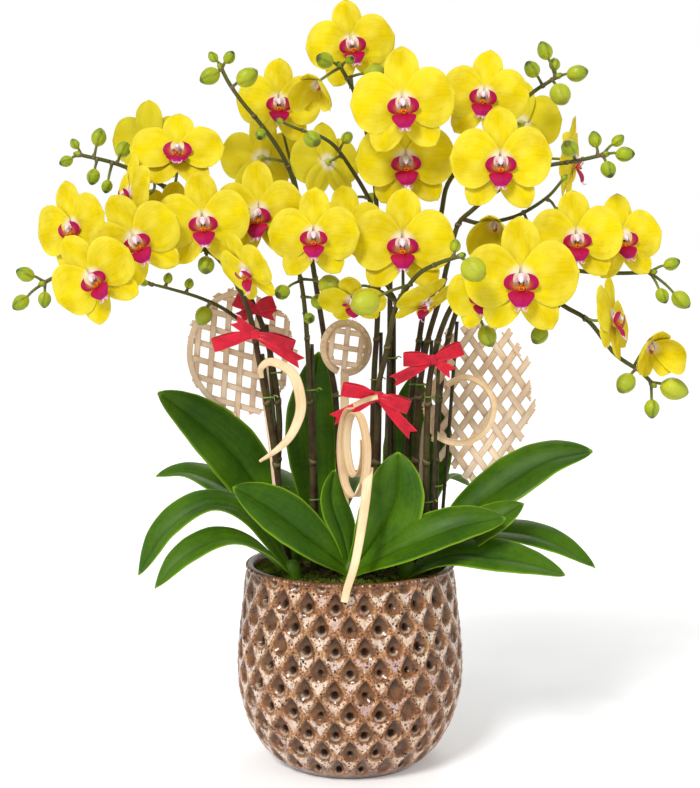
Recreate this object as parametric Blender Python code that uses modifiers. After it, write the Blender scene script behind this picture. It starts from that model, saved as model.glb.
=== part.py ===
"""Potted moth orchid: a dimpled glazed pot of leafy plants with sprays of small yellow blooms,
woven bamboo panels, curled bamboo strips and red ribbon bows among the stems.

The pot stands at the origin on its flat foot and the blooms face -Y. Lengths in the tables are
millimetres, turned into metres by MM where a mesh is made.
"""
import math

import bmesh
import bpy
from mathutils import Matrix, Vector

MM = 0.001

# Pot: turned wall, dimples in staggered rows, rolled lip
POT_HEIGHT = 148.0
POT_COLUMNS = 48
POT_BAND_LOW = 9.0
POT_BAND_HIGH = 144.0
POT_BAND_ROWS = 9
DIMPLE_RIDGE = 1.0
DIMPLE_DEPTH = 2.6
POT_SILHOUETTE = [
    (0.0, 51.0), (4.0, 56.0), (9.0, 61.5), (20.0, 70.0), (33.0, 76.5), (50.0, 81.5),
    (66.0, 83.5), (85.0, 83.2), (105.0, 81.3), (125.0, 79.2), (139.0, 77.6), (148.0, 76.8),
]
POT_FLOOR_TOP = 7.0
POT_CAVITY = [(7.0, 0.0), (10.0, 54.0), (62.0, 73.0), (144.0, 70.6)]
POT_LIP_RADIUS = 78.4
POT_FOOT_RADIUS = 52.0

# Growing medium, 0.3 mm clear of the cavity
CLEARANCE = 0.3
MEDIUM_EDGE = 138.0
MEDIUM_CROWN = 145.0
HOLE_FLOOR = 128.0
STEM_FOOT = HOLE_FLOOR + CLEARANCE
HOLE_SIDES = 6
STEM_SIDES = 4

# Flower spikes
STEM_RADIUS = 2.8
STEM_TIP_RADIUS = 1.5
BRANCH_RADIUS = 1.8
SMALL_BUD = 4.6

# Blooms, drawn at this span across the petals
BLOOM_SPAN = 70.0
PETAL_THICKNESS = 1.0
FLAT_ANGLE = 1.0
HUB_BACK = 3.2

# Bloom hub: corners at angles from straight up, so that each tepal and the lip leave a face of it
HUB_CORNERS = (43.0, 116.0, 163.0, -163.0, -116.0, -43.0)
HUB_RADIUS = 5.5
TEPAL_ROOT = 3.4
COLUMN_REACH = 8.0

# Outlines as (share of length, half width), and the lip as (half width, reach forward, height)
LIP_OUTLINE = [(1.0, 4.0, -4.0), (8.4, 8.8, -5.4), (2.6, 7.8, -8.8), (7.8, 9.8, -11.6),
               (3.0, 10.6, -20.0)]
SEPAL_OUTLINE = [(0.0, 1.0), (0.5, 10.4), (1.0, 4.6)]
DORSAL_OUTLINE = [(0.0, 1.4), (0.5, 11.6), (1.0, 4.8)]
PETAL_OUTLINE = [(0.0, 1.2), (0.3, 14.5), (0.68, 19.5), (1.0, 9.0)]

# Leaves: profile as (share of length, share of half breadth)
LEAF_PROFILE = [(0.0, 0.24), (0.3, 0.72), (0.58, 1.0), (0.84, 0.74), (1.0, 0.0)]
LEAF_THICKNESS = 1.7
CROWN_RADIUS = 7.0
CROWN_TOP = 153.0

# Ribbon and bamboo
RIBBON_THICKNESS = 0.8
BAMBOO_THICKNESS = 1.0
BOW_STANDOFF = 5.8
KNOT_SIZE = (6.0, 4.8, 6.5)
WEAVE_ANGLE = 1.02

# Main stems, foot to tip, then side branches from a point of the stem to their own tip
SPIKES = {
    "spike_left_low": {
        "stem": [(-47, -15, 145), (-52, -18, 204), (-59, -22, 258), (-67, -28, 306), (-72, -34, 333),
                 (-80, -40, 355), (-97, -52, 379), (-116, -56, 383), (-142, -58, 379),
                 (-167, -60, 372), (-201, -64, 365), (-214, -67, 359)],
        "branches": [],
        "buds": [(-227, -68, 365, 5.6), (-230, -70, 345, 5.6), (-214, -66, 347, 4.9),
                 (-101, -64, 371, 6.4)],
    },
    "spike_left_high": {
        "stem": [(-53, 8, 145), (-55, 6, 199), (-53, 2, 254), (-58, -4, 298), (-65, -8, 326),
                 (-76, -12, 352), (-90, -16, 382), (-107, -20, 404), (-125, -24, 421),
                 (-146, -28, 434), (-169, -32, 444), (-194, -36, 450)],
        "branches": [[(-64, -7, 320), (-77, -10, 327), (-94, -14, 339), (-111, -18, 347),
                      (-130, -22, 353), (-145, -25, 357)]],
        "buds": [(-181, -30, 463, 5.8), (-203, -40, 445, 4.3), (-184, -38, 434, 5.1),
                 (-165, -20, 455, 5.9), (-174, -40, 427, 4.3), (-142, -10, 465, 5.2),
                 (-198, -33, 458, 3.6), (-133, -20, 361, 3.7), (-118, -16, 357, 3.7),
                 (-108, -12, 333, 6.7), (-150, -27, 358, 3.0)],
    },
    "spike_top_left": {
        "stem": [(-8, 25, 145), (-8, 24, 200), (-11, 22, 269), (-17, 17, 301), (-23, 10, 339),
                 (-29, -2, 378), (-35, -12, 404), (-38, -20, 420), (-44, -28, 440),
                 (-53, -38, 457), (-65, -48, 473), (-76, -54, 486), (-85, -58, 499),
                 (-90, -60, 509)],
        "branches": [],
        "buds": [(-96, -58, 517, 3.6), (-84, -64, 516, 4.3), (-98, -62, 503, 6.4),
                 (-72, -58, 503, 7.1), (-63, -54, 463, 4.3)],
    },
    "spike_front_left": {
        "stem": [(-27, -18, 145), (-27, -20, 204), (-29, -22, 268), (-31, -26, 313),
                 (-33, -32, 342), (-36, -38, 363), (-41, -44, 379), (-50, -48, 390)],
        "branches": [],
        "buds": [(-48, -58, 352, 5.7), (-29, -46, 333, 4.3), (-22, -50, 345, 5.8),
                 (-14, -62, 357, 8.0)],
    },
    "spike_top_centre": {
        "stem": [(17, 5, 145), (17, 4, 222), (18, 2, 286), (20, 0, 320), (21, -2, 355),
                 (20, -4, 393), (19, -8, 423), (15, -12, 452), (8, -20, 485), (0, -32, 501),
                 (-7, -44, 512)],
        "branches": [[(19, -6, 409), (13, -10, 421), (4, -18, 436), (-9, -34, 454),
                      (-20, -45, 462), (-34, -56, 466), (-48, -68, 471)]],
        "buds": [(-18, -56, 515, 6.1), (0, -58, 515, 3.6), (18, -46, 507, 7.2),
                 (-26, -66, 459, 6.4), (-2, -26, 463, 4.4), (-3, 8, 419, 3.8)],
    },
    "spike_centre": {
        "stem": [(30, 25, 145), (30, 22, 208), (30, 16, 278), (30, 8, 339), (30, 0, 385),
                 (31, -6, 411), (35, -12, 433), (38, -20, 452), (40, -24, 470), (40, -24, 503)],
        "branches": [],
        "buds": [(25, 10, 434, 3.8), (16, 8, 421, 3.8)],
    },
    "spike_right_top": {
        "stem": [(43, 30, 145), (44, 26, 227), (47, 20, 272), (52, 12, 313), (58, 4, 355),
                 (64, -2, 385), (68, -4, 411), (72, -6, 430), (84, -8, 446), (102, -10, 467),
                 (122, -14, 486), (134, -18, 497), (150, -22, 507)],
        "branches": [],
        "buds": [(141, -22, 526, 5.9), (149, -16, 517, 4.4), (131, -28, 512, 5.9),
                 (164, -28, 509, 6.6), (151, -34, 493, 8.0)],
    },
    "spike_front_arch": {
        "stem": [(20, -12, 145), (20, -14, 225), (21, -22, 280), (25, -30, 301), (28, -38, 319),
                 (33, -52, 342), (39, -66, 354), (48, -82, 366), (60, -98, 373), (74, -110, 378)],
        "branches": [],
        "buds": [(82, -124, 369, 8.8), (71, -102, 385, 4.1), (10, -98, 346, 9.6)],
    },
    "spike_right_mid": {
        "stem": [(50, 14, 145), (50, 12, 229), (52, 8, 274), (58, 2, 314), (66, -6, 344),
                 (71, -14, 369), (74, -18, 383), (79, -24, 401), (88, -28, 410),
                 (101, -32, 421), (118, -36, 431), (138, -42, 441), (161, -50, 445),
                 (179, -54, 449)],
        "branches": [[(82, -25, 404), (95, -26, 401), (113, -28, 404), (126, -32, 409),
                      (142, -38, 420), (152, -42, 432)]],
        "buds": [(153, -66, 453, 6.4), (173, -52, 460, 5.0), (189, -54, 459, 4.3),
                 (193, -60, 449, 5.7), (181, -62, 438, 5.7), (150, -30, 410, 2.9),
                 (129, -42, 395, 6.5)],
    },
    "spike_right_wide": {
        "stem": [(64, 12, 145), (65, 10, 229), (69, 8, 286), (77, 4, 328), (90, -4, 355),
                 (115, -14, 369), (143, -24, 370), (171, -30, 366), (196, -34, 365),
                 (216, -40, 366)],
        "branches": [],
        "buds": [(230, -44, 372, 5.1), (223, -46, 349, 5.0), (237, -44, 346, 6.5)],
    },
    "spike_right_low": {
        "stem": [(55, -18, 145), (57, -20, 266), (62, -24, 306), (68, -32, 329), (76, -40, 345),
                 (90, -48, 355), (111, -56, 360), (131, -62, 355), (151, -66, 342),
                 (167, -70, 332), (184, -76, 310), (201, -80, 298), (209, -81, 290)],
        "branches": [],
        "buds": [(97, -60, 321, 7.0), (131, -80, 323, 6.3), (190, -86, 290, 6.9),
                 (224, -84, 286, 8.3), (209, -82, 272, 5.6)],
    },
}

# Half-open blooms: centre, radius, direction of the opening (yaw, pitch in degrees)
HALF_OPEN = {
    "spike_top_centre": [(-23, -76, 494, 9.5, -20, -40)],
    "spike_right_mid": [(101, -62, 397, 10.5, 10, -60)],
    "spike_right_low": [(208, -90, 314, 11.0, 30, -10)],
}

# Open blooms: x, y, z of the centre, span, yaw, pitch, roll in degrees, spike that carries it
BLOOMS = {
    "bloom_01": (-172, -108, 364, 62, -8, -8, 36, "spike_left_low"),
    "bloom_02": (-191, -74, 398, 62, -32, 0, 15, "spike_left_low"),
    "bloom_03": (-146, -92, 389, 64, 2, -4, 27, "spike_left_low"),
    "bloom_04": (-102, -74, 402, 66, 5, 0, 4, "spike_left_low"),
    "bloom_05": (-122, -50, 450, 66, 5, 38, 0, "spike_left_high"),
    "bloom_06": (-152, -71, 421, 54, -58, 5, 8, "spike_left_high"),
    "bloom_07": (-130, -43, 407, 48, 10, 6, -15, "spike_left_high"),
    "bloom_08": (-63, -54, 408, 70, -22, 0, 4, "spike_front_left"),
    "bloom_09": (-25, -78, 392, 62, 0, 2, 0, "spike_front_left"),
    "bloom_10": (-70, -92, 369, 52, -48, -28, 8, "spike_left_low"),
    "bloom_11": (37, -62, 387, 72, -2, 0, 0, "spike_front_arch"),
    "bloom_12": (-3, -44, 399, 58, 4, 12, 0, "spike_front_arch"),
    "bloom_13": (116, -100, 363, 77, -6, 0, 0, "spike_right_low"),
    "bloom_14": (156, -80, 390, 64, -2, 2, 4, "spike_right_wide"),
    "bloom_15": (193, -50, 390, 62, 12, 8, 5, "spike_right_wide"),
    "bloom_16": (178, -94, 335, 58, 62, 10, -25, "spike_right_low"),
    "bloom_18": (104, -76, 443, 70, -4, 0, 0, "spike_right_mid"),
    "bloom_19": (95, -46, 491, 64, -8, 6, -6, "spike_right_top"),
    "bloom_20": (37, -66, 484, 72, -3, 0, 4, "spike_centre"),
    "bloom_21": (40, -40, 446, 70, -2, -4, 3, "spike_centre"),
    "bloom_22": (1, -24, 530, 64, 4, 6, 10, "spike_top_centre"),
    "bloom_24": (-52, -16, 489, 62, 6, 4, 0, "spike_top_left"),
    "bloom_25": (-16, -14, 446, 58, -150, -10, 0, "spike_top_centre"),
    "bloom_26": (163, -8, 448, 62, 72, -5, 0, "spike_right_mid"),
    "bloom_28": (91, -78, 351, 50, -20, -5, 10, "spike_right_low"),
    "bloom_29": (2, -64, 348, 48, -10, -48, 0, "spike_front_arch"),
    "bloom_30": (53, -58, 346, 46, 40, -50, 0, "spike_front_arch"),
    "bloom_32": (-66, 12, 450, 62, -165, 5, 0, "spike_top_left"),
    "bloom_33": (128, 14, 476, 62, 160, 5, 0, "spike_right_top"),
    "bloom_34": (-148, 8, 462, 60, 170, 12, 0, "spike_left_high"),
}

# Roots of stalks that don't leave their stem at its nearest point
STALK_ROOTS = {
    BLOOMS["bloom_01"]: (-184, -62, 369),
    BLOOMS["bloom_06"]: (-146, -28, 434),
    BLOOMS["bloom_20"]: (40, -24, 500),
    BLOOMS["bloom_24"]: (-38, -20, 420),
}

# Leaves of each plant: crown centre, then spine points from crown to tip, widest breadth, upper side
ROSETTES = {
    "leaves_left": ((-38, 19), [
        ([(-38, 19, 146), (-58, 19, 180), (-84, 9, 222), (-112, -4, 252), (-141, -18, 277)],
         46, (0.0, -0.8, 0.6)),
        ([(-38, 19, 144), (-62, 27, 174), (-95, 36, 196), (-125, 40, 208), (-150, 38, 206)],
         36, (0.1, -0.35, 1.0)),
    ]),
    "leaves_left_front": ((-42, -38), [
        ([(-42, -38, 146), (-70, -42, 186), (-100, -46, 199), (-130, -52, 182), (-151, -56, 150)],
         34, (0.0, -0.35, 1.0)),
        ([(-42, -38, 144), (-64, -58, 168), (-90, -72, 178), (-116, -82, 168), (-135, -88, 148)],
         32, (0.0, -0.3, 1.0)),
    ]),
    "leaves_front": ((0, -38), [
        ([(0, -38, 148), (-18, -50, 166), (-42, -62, 188), (-64, -70, 205), (-82, -74, 216)],
         38, (0.3, -0.8, 0.5)),
        ([(0, -38, 148), (-6, -36, 175), (-14, -34, 200), (-12, -34, 222)],
         28, (0.7, -0.7, 0.2)),
        ([(0, -38, 148), (18, -42, 172), (32, -42, 200), (35, -40, 236)],
         46, (-0.2, -1.0, 0.1)),
        ([(0, -38, 146), (28, -54, 164), (56, -62, 178), (84, -64, 188), (110, -62, 192)],
         38, (-0.1, -0.6, 0.8)),
    ]),
    "leaves_right_front": ((42, -34), [
        ([(42, -34, 146), (72, -36, 164), (100, -36, 182), (126, -36, 198)],
         36, (-0.1, -0.5, 0.85)),
        ([(42, -34, 144), (70, -52, 162), (100, -58, 163), (130, -56, 157), (154, -52, 149)],
         34, (0.0, -0.5, 0.85)),
    ]),
    "leaves_right": ((60, -2), [
        ([(60, -2, 148), (86, -4, 182), (116, -6, 206), (148, -8, 225), (180, -10, 232)],
         44, (-0.2, -0.6, 0.8)),
        ([(60, -2, 148), (90, 4, 166), (122, 6, 168), (154, 4, 160), (184, 0, 143)],
         32, (0.0, -0.4, 0.9)),
    ]),
    "leaves_back_left": ((-20, 46), [
        ([(-20, 46, 146), (-27, 46, 195), (-31, 44, 245), (-28, 40, 278), (-24, 37, 303)],
         40, (0.1, -1.0, 0.1)),
        ([(-20, 46, 144), (-46, 68, 184), (-72, 88, 200), (-96, 104, 190)],
         40, (-0.2, 0.2, 1.0)),
        ([(-20, 46, 144), (-14, 76, 182), (-8, 106, 196), (-4, 134, 186)],
         40, (0.0, 0.1, 1.0)),
    ]),
    "leaves_back_right": ((34, 48), [
        ([(34, 48, 146), (42, 52, 195), (48, 53, 245), (50, 51, 284)],
         42, (0.1, -1.0, 0.1)),
        ([(34, 48, 146), (54, 42, 188), (66, 38, 226), (71, 36, 262)],
         32, (-0.3, -0.9, 0.2)),
        ([(34, 48, 144), (54, 74, 180), (76, 94, 196), (98, 108, 188)],
         40, (0.2, 0.2, 1.0)),
    ]),
}

# Woven bamboo panels: centre, cell pitch, strip width, half width and height, weave and stake
PANELS = {
    "panel_left": {
        "centre": (-82, 10, 303), "pitch": 16.5, "strip": 5.0, "half": (38.0, 46.0),
        "slanted": False,
        "stake": [(-66, 10, 290), (-63, 10, 268), (-58, -4, 238), (-54, -6, 200), (-51, -6, 165),
                  (-51, -6, 128.3)],
    },
    "panel_right": {
        "centre": (98, 26, 264), "pitch": 19.0, "strip": 5.6, "half": (40.0, 62.0),
        "slanted": True,
        "stake": [(66, 25, 262), (58, 24, 246), (55, 24, 200), (54, 24, 128.3)],
    },
}
HOOP = {"centre": (-3, 8, 308), "radii": (17.0, 19.0), "width": 6.5,
        "stake": [(-4, 9, 290), (-4, 10, 220), (-4, 10, 128.3)]}
STAKE_WIDTH = 6.0
HOOP_STEPS = 11

# Bows: spike, height of the knot, sideways shift, left loop, right loop, left tail, right tail
BOWS = {
    "bow_left": ("spike_left_low", 321, 1.2, (-29, -8), (27, -9), (-14, 10), (33, -20)),
    "bow_left_back": ("spike_left_high", 338, 0.0, (-14, 7), (14, 5), (-11, -6), (15, -4)),
    "bow_centre": ("spike_front_arch", 275, -0.8, (-25, 5), (22, -8), (-32, -16), (25, -27)),
    "bow_right": ("spike_right_low", 302, -0.8, (-21, 0), (20, 8), (-29, -15), (13, -9)),
}

# Curled bamboo strips: a sickle, a hanging loop with a link and a tail, and an open ring
SICKLE_ROUTE = [(-64.2, -29.3, 289), (-64.5, -33, 296), (-59, -38, 301), (-51, -42, 300),
                (-41, -43, 293), (-36, -43, 278), (-36, -43, 264), (-43, -43, 248),
                (-53, -44, 238), (-65, -45, 230)]
SICKLE_WIDTH = 7.0
LOOP_CENTRE = (3.0, -54.0, 238.0)
LOOP_AXIS = (0.8, 0.6, 0.0)
LOOP_RADII = (15.0, 32.0)
LOOP_START = 100.0
LOOP_TURN = 330.0
LOOP_STEPS = 12
LOOP_WIDTH = 7.0
LOOP_LINK = [(20, -30.8, 275), (15, -34, 274), (9, -44, 273), (3, -50, 271)]
LOOP_TAIL = [(13, -60, 228), (10, -70, 200), (4, -80, 166), (-2, -86, 147), (-4, -87, 138)]
RING_ROUTE = [(69.1, 4.5, 304), (76, -4, 300), (68, -6, 289), (60, -7, 276), (57, -8, 262),
              (61, -9, 248), (72, -10, 240), (86, -10, 239), (99, -10, 246), (106, -10, 259),
              (105, -11, 273), (96, -12, 284), (83, -13, 288), (71, -14, 282)]
RING_WIDTH = 5.5


def millimetres(point):
    """Vector in metres for a point given in millimetres."""
    return Vector(point) * MM


def clear_scene():
    """Remove every object of the opening scene."""
    for existing in list(bpy.data.objects):
        bpy.data.objects.remove(existing, do_unlink=True)


def make_collection(name):
    """New collection linked to the scene."""
    collection = bpy.data.collections.new(name)
    bpy.context.scene.collection.children.link(collection)
    return collection


def make_material(name, colour, roughness, metallic=0.0):
    """Principled material of one colour."""
    material = bpy.data.materials.new(name)
    material.use_nodes = True
    shader = material.node_tree.nodes["Principled BSDF"]
    shader.inputs["Base Color"].default_value = (*colour, 1.0)
    shader.inputs["Roughness"].default_value = roughness
    shader.inputs["Metallic"].default_value = metallic
    return material


def link_object(name, mesh, collection, material=None):
    """Object of the mesh in a collection."""
    made = bpy.data.objects.new(name, mesh)
    collection.objects.link(made)
    if material is not None:
        mesh.materials.clear()
        mesh.materials.append(material)
    return made


def mesh_from_bmesh(name, working):
    """Mesh data of a bmesh, which is freed."""
    mesh = bpy.data.meshes.new(name)
    working.to_mesh(mesh)
    working.free()
    return mesh


def evaluated_mesh(source):
    """Mesh of an object with its modifiers applied and its doubles merged, in world space."""
    bpy.context.view_layer.update()
    graph = bpy.context.evaluated_depsgraph_get()
    mesh = bpy.data.meshes.new_from_object(source.evaluated_get(graph), depsgraph=graph)
    working = bmesh.new()
    working.from_mesh(mesh)
    bmesh.ops.remove_doubles(working, verts=working.verts, dist=0.00001)
    working.transform(source.matrix_world)
    working.to_mesh(mesh)
    working.free()
    return mesh


def drop(objects):
    """Remove helper objects."""
    for helper in list(objects):
        bpy.data.objects.remove(helper, do_unlink=True)


def smooth(mesh, angle=40.0):
    """Smooth shading with sharp edges past the angle."""
    mesh.shade_smooth()
    mesh.set_sharp_from_angle(angle=math.radians(angle))


def merge_flat_faces(mesh):
    """Join the flat faces that a union has cut up, and split them again into triangles."""
    working = bmesh.new()
    working.from_mesh(mesh)
    bmesh.ops.dissolve_limit(working, angle_limit=math.radians(FLAT_ANGLE), verts=working.verts,
                             edges=working.edges)
    bmesh.ops.triangulate(working, faces=working.faces)
    working.to_mesh(mesh)
    working.free()


def union_of(name, pieces):
    """One mesh from the Boolean union of closed pieces, which are removed."""
    base = pieces[0]
    if len(pieces) > 1:
        others = make_collection(name + "_joined")
        for piece in pieces[1:]:
            for home in list(piece.users_collection):
                home.objects.unlink(piece)
            others.objects.link(piece)
        join = base.modifiers.new("join", "BOOLEAN")
        join.operation = "UNION"
        join.operand_type = "COLLECTION"
        join.collection = others
        join.solver = "MANIFOLD"
        mesh = evaluated_mesh(base)
        drop(others.objects)
        bpy.data.collections.remove(others)
        merge_flat_faces(mesh)
    else:
        mesh = evaluated_mesh(base)
    drop([base])
    mesh.name = name
    return mesh


def tube(name, points, radii, sides, collection):
    """Closed tube through points in millimetres, with a radius at each; sides is 4 or 6."""
    curve = bpy.data.curves.new(name, "CURVE")
    curve.dimensions = "3D"
    curve.bevel_depth = MM
    curve.bevel_resolution = (sides - 4) // 2
    curve.use_fill_caps = True
    spline = curve.splines.new("POLY")
    spline.points.add(len(points) - 1)
    for node, point, radius in zip(spline.points, points, radii):
        node.co = (*millimetres(point), 1.0)
        node.radius = radius
    wire = bpy.data.objects.new(name + "_route", curve)
    collection.objects.link(wire)
    mesh = evaluated_mesh(wire)
    drop([wire])
    return link_object(name, mesh, collection)


def strip(name, rows, thickness, collection):
    """Flat strip through rows of points in millimetres across it, given its thickness."""
    working = bmesh.new()
    made = [[working.verts.new(millimetres(point)) for point in row] for row in rows]
    for low, high in zip(made, made[1:]):
        if len(high) == 1:
            for first, second in zip(low, low[1:]):
                working.faces.new((first, second, high[0]))
            continue
        for index in range(len(low) - 1):
            working.faces.new((low[index], low[index + 1], high[index]))
            working.faces.new((low[index + 1], high[index + 1], high[index]))
    bmesh.ops.recalc_face_normals(working, faces=working.faces)
    made_strip = link_object(name, mesh_from_bmesh(name, working), collection)
    wall = made_strip.modifiers.new("wall", "SOLIDIFY")
    wall.thickness = thickness * MM
    wall.offset = 0.0
    mesh = evaluated_mesh(made_strip)
    drop([made_strip])
    return link_object(name, mesh, collection)


def interpolate(table, position):
    """Value of a table of (position, value) pairs, straight between its rows."""
    for (low, start), (high, end) in zip(table, table[1:]):
        if position <= high:
            share = (position - low) / (high - low)
            return start + (end - start) * max(share, 0.0)
    return table[-1][1]


def turned(name, profile, sides, collection):
    """Solid of revolution from (height, radius) pairs that start and end on the axis."""
    working = bmesh.new()
    corners = [working.verts.new((radius * MM, 0.0, height * MM)) for height, radius in profile]
    for first, second in zip(corners, corners[1:]):
        working.edges.new((first, second))
    shape = link_object(name, mesh_from_bmesh(name, working), collection)
    spin = shape.modifiers.new("turn", "SCREW")
    spin.steps = sides
    spin.render_steps = sides
    spin.use_merge_vertices = True
    spin.merge_threshold = 0.00005
    mesh = evaluated_mesh(shape)
    drop([shape])
    return link_object(name, mesh, collection)


def band_heights():
    """Heights of the vertex rows of the dimpled band."""
    step = (POT_BAND_HIGH - POT_BAND_LOW) / POT_BAND_ROWS
    return [POT_BAND_LOW + step * row for row in range(POT_BAND_ROWS + 1)]


def build_pot(collection, material):
    """Turned pot whose outer band is raised into ridges round staggered pointed dimples."""
    heights = band_heights()
    profile = [(POT_HEIGHT, 72.6), (POT_HEIGHT, 76.6), (145.6, POT_LIP_RADIUS)]
    profile += [(height, interpolate(POT_SILHOUETTE, height)) for height in reversed(heights)]
    profile += [(0.0, POT_FOOT_RADIUS), (0.0, 0.0)]
    profile = POT_CAVITY + profile
    pot = turned("pot", profile, POT_COLUMNS, collection)
    working = bmesh.new()
    working.from_mesh(pot.data)
    sector = math.tau / POT_COLUMNS
    ridge = {}
    for vertex in working.verts:
        height = vertex.co.z / MM
        radius = math.hypot(vertex.co.x, vertex.co.y) / MM
        row = next((i for i, level in enumerate(heights) if abs(level - height) < 0.01), None)
        if row is None or radius < interpolate(POT_SILHOUETTE, height) - 0.5:
            continue
        column = round(math.atan2(vertex.co.y, vertex.co.x) / sector)
        edge_row = row in (0, len(heights) - 1)
        raised = (row + column) % 2 == 0
        ridge[vertex] = raised
        shift = DIMPLE_RIDGE if raised else -DIMPLE_DEPTH
        if edge_row:
            shift = 0.0
        scale = (radius + shift) / radius
        vertex.co.x *= scale
        vertex.co.y *= scale
    for face in list(working.faces):
        corners = [vertex for vertex in face.verts if ridge.get(vertex)]
        if len(face.verts) == 4 and all(vertex in ridge for vertex in face.verts):
            bmesh.utils.face_split(face, corners[0], corners[1])
    bmesh.ops.recalc_face_normals(working, faces=working.faces)
    working.to_mesh(pot.data)
    working.free()
    smooth(pot.data, 25.0)
    pot.data.materials.clear()
    pot.data.materials.append(material)
    return pot


def crown_feet():
    """Centre of each crown, with the radius of its hole."""
    return [(x, y, CROWN_RADIUS + 0.6) for (x, y), _ in ROSETTES.values()]


def stem_feet():
    """Centre of each stem's foot, with the radius of its hole."""
    return [(*spike["stem"][0][:2], STEM_RADIUS + 0.75) for spike in SPIKES.values()]


def stake_feet():
    """Centre of each stake's foot, with the radius of its hole."""
    stakes = [panel["stake"] for panel in PANELS.values()] + [HOOP["stake"]]
    return [(*stake[-1][:2], STAKE_WIDTH / 2 + 1.1) for stake in stakes]


def build_medium(collection, cutters, material):
    """Bark and moss that fill the pot, with plain holes for stems, crowns and stakes."""
    profile = [(MEDIUM_CROWN, 0.0), (MEDIUM_EDGE + 3.5, 50.0)]
    edge = interpolate(POT_CAVITY, MEDIUM_EDGE)
    profile.append((MEDIUM_EDGE, edge - CLEARANCE))
    for height, radius in reversed(POT_CAVITY[1:-1]):
        profile.append((height + CLEARANCE, radius - CLEARANCE))
    profile.append((POT_FLOOR_TOP + CLEARANCE, 0.0))
    medium = turned("growing_medium", profile, POT_COLUMNS // 2, collection)
    for index, (x, y, radius) in enumerate(crown_feet() + stem_feet() + stake_feet()):
        working = bmesh.new()
        bmesh.ops.create_cone(
            working, cap_ends=True, segments=HOLE_SIDES if radius > 6 else STEM_SIDES,
            radius1=radius * MM, radius2=radius * MM, depth=40.0 * MM,
            matrix=Matrix.Translation(millimetres((x, y, HOLE_FLOOR + 20.0))))
        drill = link_object(f"hole_{index:02d}", mesh_from_bmesh("hole", working), cutters)
        drill.hide_render = True
        drill.display_type = "WIRE"
    cut = medium.modifiers.new("holes", "BOOLEAN")
    cut.operation = "DIFFERENCE"
    cut.operand_type = "COLLECTION"
    cut.collection = cutters
    mesh = evaluated_mesh(medium)
    drop([medium])
    smooth(mesh)
    return link_object("growing_medium", mesh, collection, material)


def stem_radii(count, start, end):
    """Radius at each point of a stem that tapers evenly."""
    return [start + (end - start) * index / (count - 1) for index in range(count)]


def nearest_on_routes(routes, target):
    """Nearest point to the target on any of the routes, all in millimetres."""
    best = None
    goal = Vector(target)
    for route in routes:
        for first, second in zip(route, route[1:]):
            start = Vector(first)
            span = Vector(second) - start
            share = min(max((goal - start).dot(span) / span.length_squared, 0.05), 0.95)
            point = start + span * share
            if best is None or (point - goal).length < (best - goal).length:
                best = point
    return best


def arc_between(start, end, arrival, count):
    """Points of a curved stalk from start to end, arriving along a direction."""
    reach = (end - start).length * 0.55
    first = start + Vector((0.0, 0.0, 1.0)) * reach * 0.3
    last = end - arrival * reach
    points = []
    for index in range(count + 1):
        t = index / count
        u = 1.0 - t
        points.append(u ** 3 * start + 3 * u * u * t * first + 3 * u * t * t * last + t ** 3 * end)
    return points


def bloom_matrix(bloom):
    """Place of a bloom: faces -Y, turned by its yaw, pitch and roll, at its own span."""
    x, y, z, span, yaw, pitch, roll, _ = bloom
    turn = (Matrix.Rotation(math.radians(yaw), 4, "Z") @ Matrix.Rotation(math.radians(-pitch), 4, "X")
            @ Matrix.Rotation(math.radians(-roll), 4, "Y"))
    return Matrix.Translation(millimetres((x, y, z))) @ turn @ Matrix.Scale(span / BLOOM_SPAN, 4)


def stalk_to_bloom(name, bloom, routes, collection):
    """Stalk from the nearest stem, or the stated root, to just behind a bloom's hub."""
    place = bloom_matrix(bloom)
    back = (place.to_3x3() @ Vector((0.0, 1.0, 0.0))).normalized()
    centre = Vector(bloom[:3])
    end = centre + back * (HUB_BACK * bloom[3] / BLOOM_SPAN + CLEARANCE)
    root = nearest_on_routes(routes, centre + back * 26.0 - Vector((0.0, 0.0, 6.0)))
    if bloom in STALK_ROOTS:
        root = Vector(STALK_ROOTS[bloom])
    points = arc_between(root, end + back * 2.5, -back, 3) + [end]
    return tube(name, points, [1.3, 1.1, 1.0, 1.0, 1.0], 4, collection)


def bud_piece(name, centre, radius, pull, collection):
    """Egg-shaped bud whose narrow end points along pull."""
    working = bmesh.new()
    if radius < SMALL_BUD:
        bmesh.ops.create_uvsphere(working, u_segments=4, v_segments=2, radius=radius * MM)
    else:
        bmesh.ops.create_icosphere(working, subdivisions=1, radius=radius * MM)
    stretch = Matrix.Diagonal((1.0, 1.0, 1.22, 1.0))
    aim = Vector(pull).to_track_quat("Z", "Y").to_matrix().to_4x4()
    working.transform(Matrix.Translation(millimetres(centre)) @ aim @ stretch)
    return link_object(name, mesh_from_bmesh(name, working), collection)


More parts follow.
